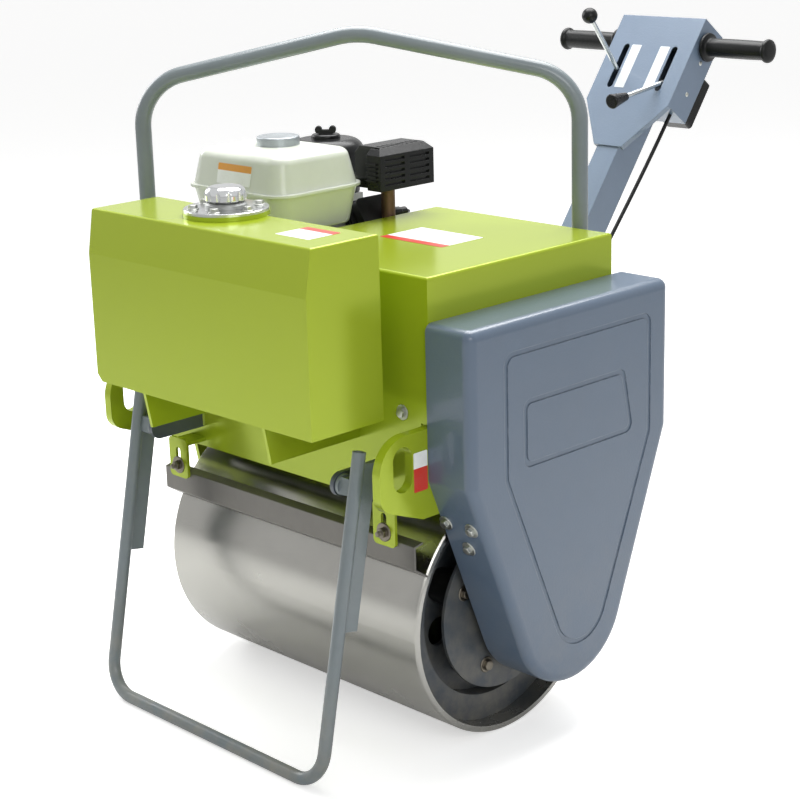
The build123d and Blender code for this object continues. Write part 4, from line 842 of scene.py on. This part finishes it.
@dataclass(frozen=True)
class Label:
    """A blank film label on a flat face: its place, its size and its bands."""

    name: str
    at: Point
    normal: Point
    length: float
    width: float
    finish: LabelFinish
    turn: float = 0.0
    corner: float = 0.002
    lift: float = 0.0003

    def build(self, body: Body = Body.CHASSIS,
              frame_matrix: np.ndarray | None = None) -> bpy.types.Object:
        """Make the film with bands along its length.

        Args:
            body: the body that it is stuck to.
            frame_matrix: a further frame that the label is placed in.

        Returns:
            The label's object.
        """
        flat = film(self.length / 2, self.width / 2, self.corner, self.lift)
        uv = np.stack([flat[..., 0] / self.length + 0.5, flat[..., 1] / self.width + 0.5], axis=-1)
        here = seat(self.at, self.normal, self.turn)
        if frame_matrix is not None:
            here = frame_matrix @ here
        work = Patchwork(self.name).add(put(flat, here), uv=uv)
        return work.build(self.finish, "white_plastic", body, facing=tuple(here[:3, 2]))


@dataclass
class GuardDressing:
    """Bolts on the belt guard's front wall and the screw on the hood."""

    spots: tuple[tuple[float, float], ...] = ((0.314, 0.398), (0.367, 0.398), (0.347, 0.360))
    hood_spot: Point = (0.177, 0.248, 0.566)
    knee: float = 0.470
    half: float = 0.234
    centre: float = -0.051
    foot_z: float = 0.219
    foot_r: float = 0.126

    def build(self) -> None:
        """Make the guard's bolts, seated on its slanted front wall, and the hood's screw.

        The wall runs from the knee down to where it touches the foot's circle.
        """
        work = Patchwork("guard_bolts")
        rise = self.knee - self.foot_z
        slant = math.atan2(rise, self.half) - math.acos(self.foot_r / math.hypot(self.half, rise))
        low_x = self.centre + self.foot_r * math.cos(slant)
        low_z = self.foot_z + self.foot_r * math.sin(slant)
        bolt = Bolt(across=0.013, height=0.0060, washer_r=0.0125, washer_t=0.0018)
        for k, (y, z) in enumerate(self.spots):
            x = low_x + (z - low_z) / (self.knee - low_z) * (self.centre + self.half - low_x)
            work.gather(bolt.grids((x, y, z), (math.cos(slant), 0.0, math.sin(slant)), 0.5 * k))
        work.build(ZINC, "zinc_steel")
        one = Patchwork("hood_screw")
        screw = Bolt(across=0.013, height=0.0060, washer_r=0.012, washer_t=0.0016)
        one.gather(screw.grids(self.hood_spot, (1, 0, 0), 0.3))
        one.build(ZINC, "zinc_steel")


@dataclass
class FrameDressing:
    """Bolts of the hangers, bearing housings and scraper brackets, and the welds of the frame."""

    side: float = 0.306
    right_set: float = 0.066
    hanger_t: float = 0.008
    housing_t: float = 0.026
    hanger_x: tuple[float, ...] = (-0.165, -0.045, 0.075)
    hanger_z: tuple[float, ...] = (0.480, 0.560)
    axle: float = 0.213
    bearing_circle: float = 0.043
    scraper_spots: tuple[Point, ...] = ((0.2195, -0.260, 0.384), (0.2195, 0.244, 0.384))
    front_x: float = 0.1745
    rear_x: float = -0.2465
    stand_y: tuple[float, float] = (-0.246, 0.201)
    clevis_y: float = 0.100
    pad_y: float = -0.3195

    def outer(self, sign: int, out: float) -> float:
        """The y of a place that far outside a side plate; the right plate is set further out."""
        return sign * (self.side + out) - (self.right_set if sign < 0 else 0.0)

    def hanger_bolts(self) -> bpy.types.Object:
        """Rows of bolts through the hangers into the side plates."""
        work = Patchwork("hanger_bolts")
        bolt = Bolt(0.018, 0.0080, 0.0155, 0.0020, stub_r=0.0055, stub_h=0.004)
        for sign in (-1, 1):
            for k, x in enumerate(self.hanger_x):
                for z in self.hanger_z:
                    at = (x, self.outer(sign, self.hanger_t), z)
                    work.gather(bolt.grids(at, (0, sign, 0), k))
        return work.build(ZINC, "zinc_steel")

    def bearing_bolts(self) -> bpy.types.Object:
        """Four bolts round each bearing housing."""
        work = Patchwork("bearing_bolts")
        bolt = Bolt(across=0.010, height=0.0045, washer_r=0.0075, washer_t=0.0012)
        for sign in (-1, 1):
            y = self.outer(sign, self.hanger_t + self.housing_t)
            for k in range(4):
                a = TAU * (k + 0.5) / 4
                x, z = self.bearing_circle * math.cos(a), self.bearing_circle * math.sin(a)
                work.gather(bolt.grids((x, y, self.axle + z), (0, sign, 0), a))
        return work.build(ZINC, "zinc_steel")

    def scraper_bolts(self) -> bpy.types.Object:
        """Bolts with large washers in the slots of the scraper's brackets."""
        work = Patchwork("scraper_bolts")
        bolt = Bolt(0.015, 0.0070, 0.0150, 0.0022, stub_r=0.0042, stub_h=0.006)
        for spot in self.scraper_spots:
            work.gather(bolt.grids(spot, (1, 0, 0), 0.4))
        return work.build(DULL_ZINC, "zinc_steel")

    def welds(self) -> bpy.types.Object:
        """Upright beads on both faces of the stand's brackets, clevis plates and bar's pad."""
        work = Patchwork("frame_weld_seams")
        rows = [(self.front_x, y, 0.0045, 0.447, 0.483, 0.0024) for y in self.stand_y]
        rows += [(self.rear_x, y, 0.0055, 0.446, 0.532, 0.0026)
                 for y in (-self.clevis_y, self.clevis_y)]
        rows.append((self.front_x, self.pad_y, 0.0125, 0.470, 0.514, 0.0024))
        for x, middle, half, z0, z1, size in rows:
            for y in (middle - half, middle + half):
                work.add(weld((x, y, z0), (x, y, z1), size, (1, 0, 0)))
        return work.build(WELD_PAINT, "lime_paint")

    def build(self) -> None:
        """Make the frame's pieces."""
        self.hanger_bolts()
        self.bearing_bolts()
        self.scraper_bolts()
        self.welds()


@dataclass
class DrumDressing:
    """Bolts through the drive discs into the rubber buffers."""

    circle: float = 0.103
    face: float = 0.290
    first: float = math.radians(-64.0)
    axle: float = 0.213

    def build(self) -> None:
        """Make the bolts on both discs, where the buffers are."""
        work = Patchwork("drive_disc_bolts")
        bolt = Bolt(across=0.016, height=0.0065, washer_r=0.0135, washer_t=0.0018)
        for sign in (-1, 1):
            for k in range(4):
                a = self.first + TAU * k / 4
                x, z = self.circle * math.cos(a), self.circle * math.sin(a)
                work.gather(bolt.grids((x, sign * self.face, self.axle + z), (0, sign, 0), a))
        work.build(DULL_ZINC, "zinc_steel", Body.DRUM)


@dataclass
class HandleDressing:
    """Rubber grips, rivets and blank strips of the console, in the handle's leaning frame."""

    pivot: Point = (-0.330, 0.0, 0.452)
    lean: float = math.radians(37.0)
    grip_u: float = 0.722
    grip_n: float = -0.014
    start: float = 0.100
    end: float = 0.240
    rivet_n: float = -0.020
    rivet_y: float = 0.096
    rivet_u: tuple[float, float] = (0.625, 0.691)
    strip_n: float = 0.0160
    strip_y: float = 0.033
    strip_u: float = 0.655

    def matrix(self) -> np.ndarray:
        """The handle's frame: local Z up the post, local X out of its face."""
        c, s = math.cos(self.lean), math.sin(self.lean)
        made = np.eye(4)
        made[:3] = np.column_stack([(c, 0, s), (0, 1, 0), (-s, 0, c), self.pivot])
        return made

    def grip_profile(self) -> list[tuple[float, float]]:
        """Radii and places along the bar of a sleeve.

        The hand part swells by half a sine wave and carries shallow rings; a flange stands at
        its root and a bead at its end.
        """
        y = np.linspace(self.start + 0.010, self.end - 0.012, 120)
        swell = 0.0007 * np.sin(math.pi * (y - y[0]) / (y[-1] - y[0]))
        rings = 0.00022 * np.cos((y - y[0]) / 0.0034 * TAU)
        root = [(0.0112, 0.0), (0.0240, 0.0), (0.0262, 0.0012), (0.0268, 0.0035), (0.0258, 0.0060),
                (0.0215, 0.0072), (0.0180, 0.0085)]
        bead = [(0.0188, 0.0105), (0.0208, 0.0090), (0.0214, 0.0060), (0.0204, 0.0028),
                (0.0170, 0.0008), (0.0100, 0.0001), (0.0, 0.0)]
        hand = list(zip(0.0168 + swell + rings, y))
        return ([(r, self.start + h) for r, h in root] + hand
                + [(r, self.end - h) for r, h in bead])

    def grips(self) -> bpy.types.Object:
        """Two sleeves turned about the bar, in place of the CAD's plain ones."""
        work = Patchwork("grip_sleeves")
        for sign in (-1, 1):
            here = seat((self.grip_n, 0.0, self.grip_u), (0.0, sign, 0.0))
            work.add(put(put(turned(self.grip_profile(), 48), here), self.matrix()))
        made = work.build(RUBBER, "rubber", Body.HANDLE, smooth=50.0)
        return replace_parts(made, "grips")

    def rivets(self) -> bpy.types.Object:
        """Domed rivets along the console's side walls."""
        work = Patchwork("console_rivets")
        t = np.linspace(0.0, math.pi / 2, 7)
        dome = turned(list(zip(0.0042 * np.sin(t), 0.0018 * np.cos(t))), 20)
        for sign in (-1, 1):
            for u in self.rivet_u:
                here = seat((self.rivet_n, sign * self.rivet_y, u), (0.0, sign, 0.0))
                work.add(put(put(dome, here), self.matrix()))
        return work.build(ZINC, "zinc_steel", Body.HANDLE)

    def strips(self) -> None:
        """Two blank white strips beside the lever slots."""
        plain = LabelFinish("console_strip_film", ((0.0, "D5DADF"), (1.0, "D5DADF")))
        for side, y in (("left", self.strip_y), ("right", -self.strip_y)):
            strip = Label("console_strip_" + side, (self.strip_n, y, self.strip_u), (1, 0, 0),
                          0.022, 0.092, plain, corner=0.0015)
            strip.build(Body.HANDLE, self.matrix())

    def build(self) -> None:
        """Make the handle's pieces."""
        self.grips()
        self.rivets()
        self.strips()


@dataclass
class EngineDressing:
    """Spark plug, starter grip, plugs and screws of the engine."""

    boot_at: Point = (-0.169, -0.1205, 0.7764)
    lead: tuple[Point, ...] = ((-0.200, -0.1205, 0.7764), (-0.236, -0.1205, 0.776),
                               (-0.228, -0.175, 0.752), (-0.170, -0.190, 0.745))
    pull_at: Point = (0.104, -0.268, 0.752)
    neck_x: float = 0.086
    case_y: float = -0.297
    case_x: tuple[float, ...] = (-0.155, -0.068, 0.020)
    case_z: tuple[float, float] = (0.622, 0.760)
    plug_at: Point = (-0.110, -0.297, 0.628)

    def spark_plug(self) -> bpy.types.Object:
        """Rubber boot on the head, and the lead that curves down to the blower housing.

        The lead is a cubic curve: its four points weighted by the powers of t and 1 - t.
        """
        work = Patchwork("spark_plug_boot")
        boot = [(0.0, 0.036), (0.006, 0.0355), (0.0085, 0.033), (0.0088, 0.020),
                (0.0105, 0.018), (0.0108, 0.004), (0.0095, 0.0), (0.0, 0.0)]
        work.add(put(turned(boot, 28), seat(self.boot_at, (-1, 0, 0))))
        t = np.linspace(0.0, 1.0, 60)[:, None]
        a, b, c, d = (np.array(point) for point in self.lead)
        path = (1 - t) ** 3 * a + 3 * t * (1 - t) ** 2 * b + 3 * t ** 2 * (1 - t) * c + t ** 3 * d
        work.add(tube(path, np.full(60, 0.0033), (0, 0, 1), 12))
        return work.build(RUBBER, "rubber")

    def starter_grip(self) -> bpy.types.Object:
        """Pull grip on the blower housing: a bar with thickened ends on a short neck."""
        s = np.linspace(-1.0, 1.0, 40)
        x, y, z = self.pull_at
        path = np.stack([np.full(40, x), y + 0.026 * s, z + 0.012 * s], axis=-1)
        radius = 0.0075 * np.sqrt(np.clip(1.0 - s ** 16, 0.0, 1.0)) * (1.0 + 0.18 * s ** 2)
        work = Patchwork("starter_grip").add(tube(path, radius, (1, 0, 0), 16))
        neck = turned([(0.0, 0.016), (0.006, 0.016), (0.007, 0.006), (0.009, 0.0), (0.0, 0.0)], 20)
        work.add(put(neck, seat((self.neck_x, y, z), (1, 0, 0))))
        return work.build(BLACK_SHELL, "black_plastic")

    def case_screws(self) -> bpy.types.Object:
        """Screws round the crankcase cover, and the oil plug."""
        work = Patchwork("crankcase_screws")
        screw = Bolt(across=0.010, height=0.0055, washer_r=0.0072, washer_t=0.001)
        for x in self.case_x:
            for z in self.case_z:
                work.gather(screw.grids((x, self.case_y, z), (0, -1, 0), x * 40))
        plug = Bolt(across=0.017, height=0.007, washer_r=0.0125, washer_t=0.002)
        work.gather(plug.grids(self.plug_at, (0, -1, 0)))
        return work.build(ZINC, "zinc_steel")

    def build(self) -> None:
        """Make the engine's small pieces."""
        self.spark_plug()
        self.starter_grip()
        self.case_screws()


@dataclass
class Labels:
    """The blank labels of the chassis."""

    white: str = "E9ECEA"
    red: str = "C8372B"
    amber: str = "DE9A3A"

    def build(self) -> None:
        """Make each label where the machine carries one."""
        up, front = (0, 0, 1), (1, 0, 0.21)
        red, white, amber = self.red, self.white, self.amber
        tank = LabelFinish("tank_film_blank", ((0.0, red), (0.26, white), (1.0, white)))
        hood = LabelFinish("hood_film_blank", ((0.0, white), (0.82, red), (1.0, red)))
        eye = LabelFinish("eye_film_blank", ((0.0, red), (0.60, white), (1.0, white)), Bands.ACROSS)
        fuel = LabelFinish("fuel_film_blank", ((0.0, white), (0.66, amber), (1.0, amber)),
                           Bands.ACROSS)
        for label in (
                Label("tank_label", (0.2875, 0.1735, 0.850), up, 0.065, 0.073, tank),
                Label("hood_label", (-0.045, 0.0985, 0.782), up, 0.097, 0.140, hood),
                Label("eye_label", (0.199, 0.306, 0.490), (0, 1, 0), 0.029, 0.062, eye),
                Label("fuel_label", (0.1004, -0.217, 0.872), front, 0.085, 0.034, fuel,
                      lift=0.0006)):
            label.build()


@dataclass
class Coats:
    """Gives each CAD node its finish."""

    plan: dict[str, Finish]

    def apply(self) -> None:
        """Assign the finishes and report any node that the plan lacks."""
        for name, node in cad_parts.items():
            finish = self.plan.get(name)
            if finish is None:
                raise SystemExit(f"no finish for the node {name}")
            for place in node.material_slots:
                place.material = finish.material()
            log.info("%s: %s", name, finish.name)


@dataclass
class Studio:
    """Pale floor, white surroundings and soft lamps."""

    reach: float = 40.0

    def floor(self) -> None:
        """A wide level grid under the machine."""
        line = np.linspace(-self.reach, self.reach, 9)
        x, y = np.meshgrid(line, line, indexing="ij")
        grid = np.stack([x, y, np.zeros_like(x)], axis=-1)
        index = np.arange(81).reshape(9, 9)
        quads = quads_of(index)
        mesh = bpy.data.meshes.new("studio_floor")
        mesh.from_pydata(grid.reshape(-1, 3).tolist(), [], quads.tolist())
        made = bpy.data.materials.new("studio_floor_paint")
        made.use_nodes = True
        w = Wiring(made.node_tree)
        shader = made.node_tree.nodes["Principled BSDF"]
        shader.inputs["Base Color"].default_value = (0.90, 0.90, 0.895, 1.0)
        shader.inputs["Roughness"].default_value = 0.75
        shader.inputs["Specular IOR Level"].default_value = 0.2
        glow = w.add("Emission")
        glow.inputs["Color"].default_value = (1.0, 1.0, 1.0, 1.0)
        light = w.add("LightPath")
        seen = w.maths("MAXIMUM", light.outputs["Is Camera Ray"],
                       light.outputs["Is Transmission Ray"])
        gloss = w.maths("MULTIPLY", light.outputs["Is Glossy Ray"], 0.06)
        w.join(w.maths("ADD", w.maths("MULTIPLY", seen, 0.50), gloss), glow.inputs["Strength"])
        both = w.add("AddShader")
        w.join(shader.outputs[0], both.inputs[0])
        w.join(glow.outputs[0], both.inputs[1])
        w.join(both.outputs[0], made.node_tree.nodes["Material Output"].inputs["Surface"])
        mesh.materials.append(made)
        floor = bpy.data.objects.new("studio_floor", mesh)
        bpy.context.scene.collection.objects.link(floor)

    def surroundings(self) -> None:
        """A white background for the camera and for reflections, and a dimmer one as light."""
        world = bpy.data.worlds.new("studio_world")
        bpy.context.scene.world = world
        world.use_nodes = True
        w = Wiring(world.node_tree)
        back = world.node_tree.nodes["Background"]
        back.inputs["Color"].default_value = (1.0, 1.0, 1.0, 1.0)
        light = w.add("LightPath")
        seen = w.maths("MAXIMUM", light.outputs["Is Camera Ray"],
                       light.outputs["Is Transmission Ray"])
        gloss = w.maths("MULTIPLY", light.outputs["Is Glossy Ray"], 0.80)
        w.join(w.maths("MAXIMUM", w.maths("MAXIMUM", seen, gloss), 0.48), back.inputs["Strength"])

    def lamp(self, name: str, at: Point, aim: Point, size: tuple[float, float],
             watts: float) -> None:
        """Hang one soft rectangular lamp.

        Args:
            name: its name.
            at: its place.
            aim: the point that it looks at.
            size: its width and height.
            watts: its power.
        """
        data = bpy.data.lights.new(name, "AREA")
        data.shape, data.size, data.size_y, data.energy = "RECTANGLE", size[0], size[1], watts
        made = bpy.data.objects.new(name, data)
        made.location = at
        made.rotation_mode = "QUATERNION"
        made.rotation_quaternion = (Vector(aim) - Vector(at)).to_track_quat("-Z", "Y")
        bpy.context.scene.collection.objects.link(made)

    def build(self) -> None:
        """Set the stage and the lamps: one high at the back, one on the right, one front left."""
        self.floor()
        self.surroundings()
        self.lamp("top_lamp", (-0.9, -0.5, 3.2), (0.0, 0.0, 0.6), (2.6, 2.6), 162.0)
        self.lamp("side_lamp", (0.2, -3.2, 1.9), (0.0, 0.0, 0.5), (1.6, 1.6), 34.0)
        self.lamp("fill_lamp", (1.8, 3.7, 2.4), (0.0, 0.0, 0.5), (2.0, 1.4), 40.0)
        bpy.context.scene.view_settings.view_transform = "Standard"


@dataclass(frozen=True)
class Viewpoint:
    """The photograph's camera: its place, where it looks and its lens."""

    at: Point = (2.09271, 2.21049, 1.38511)
    ahead: Point = (-0.66648, -0.69326, -0.27421)
    right: Point = (-0.71500, 0.69855, -0.02826)
    lens: float = 85.0
    shift: tuple[float, float] = (0.015, -0.0135)

    def build(self) -> None:
        """Make the camera."""
        data = bpy.data.cameras.new("photo_camera")
        data.sensor_width, data.lens = 36.0, self.lens
        data.shift_x, data.shift_y = self.shift
        data.clip_start, data.clip_end = 0.05, 200.0
        made = bpy.data.objects.new("photo_camera", data)
        back = -Vector(self.ahead).normalized()
        right = Vector(self.right)
        right = (right - back * right.dot(back)).normalized()
        up = back.cross(right)
        turn = Matrix((right, up, back)).transposed()
        made.matrix_world = Matrix.Translation(self.at) @ turn.to_4x4()
        bpy.context.scene.collection.objects.link(made)
        bpy.context.scene.camera = made


def main() -> None:
    """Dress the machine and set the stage."""
    logging.basicConfig(level=logging.INFO, format="%(message)s")
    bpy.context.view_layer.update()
    Viewpoint().build()
    Studio().build()
    Coats(NODE_FINISHES).apply()
    TankDressing().build()
    GuardDressing().build()
    FrameDressing().build()
    DrumDressing().build()
    HandleDressing().build()
    EngineDressing().build()
    Labels().build()


if __name__ == "__main__":
    main()
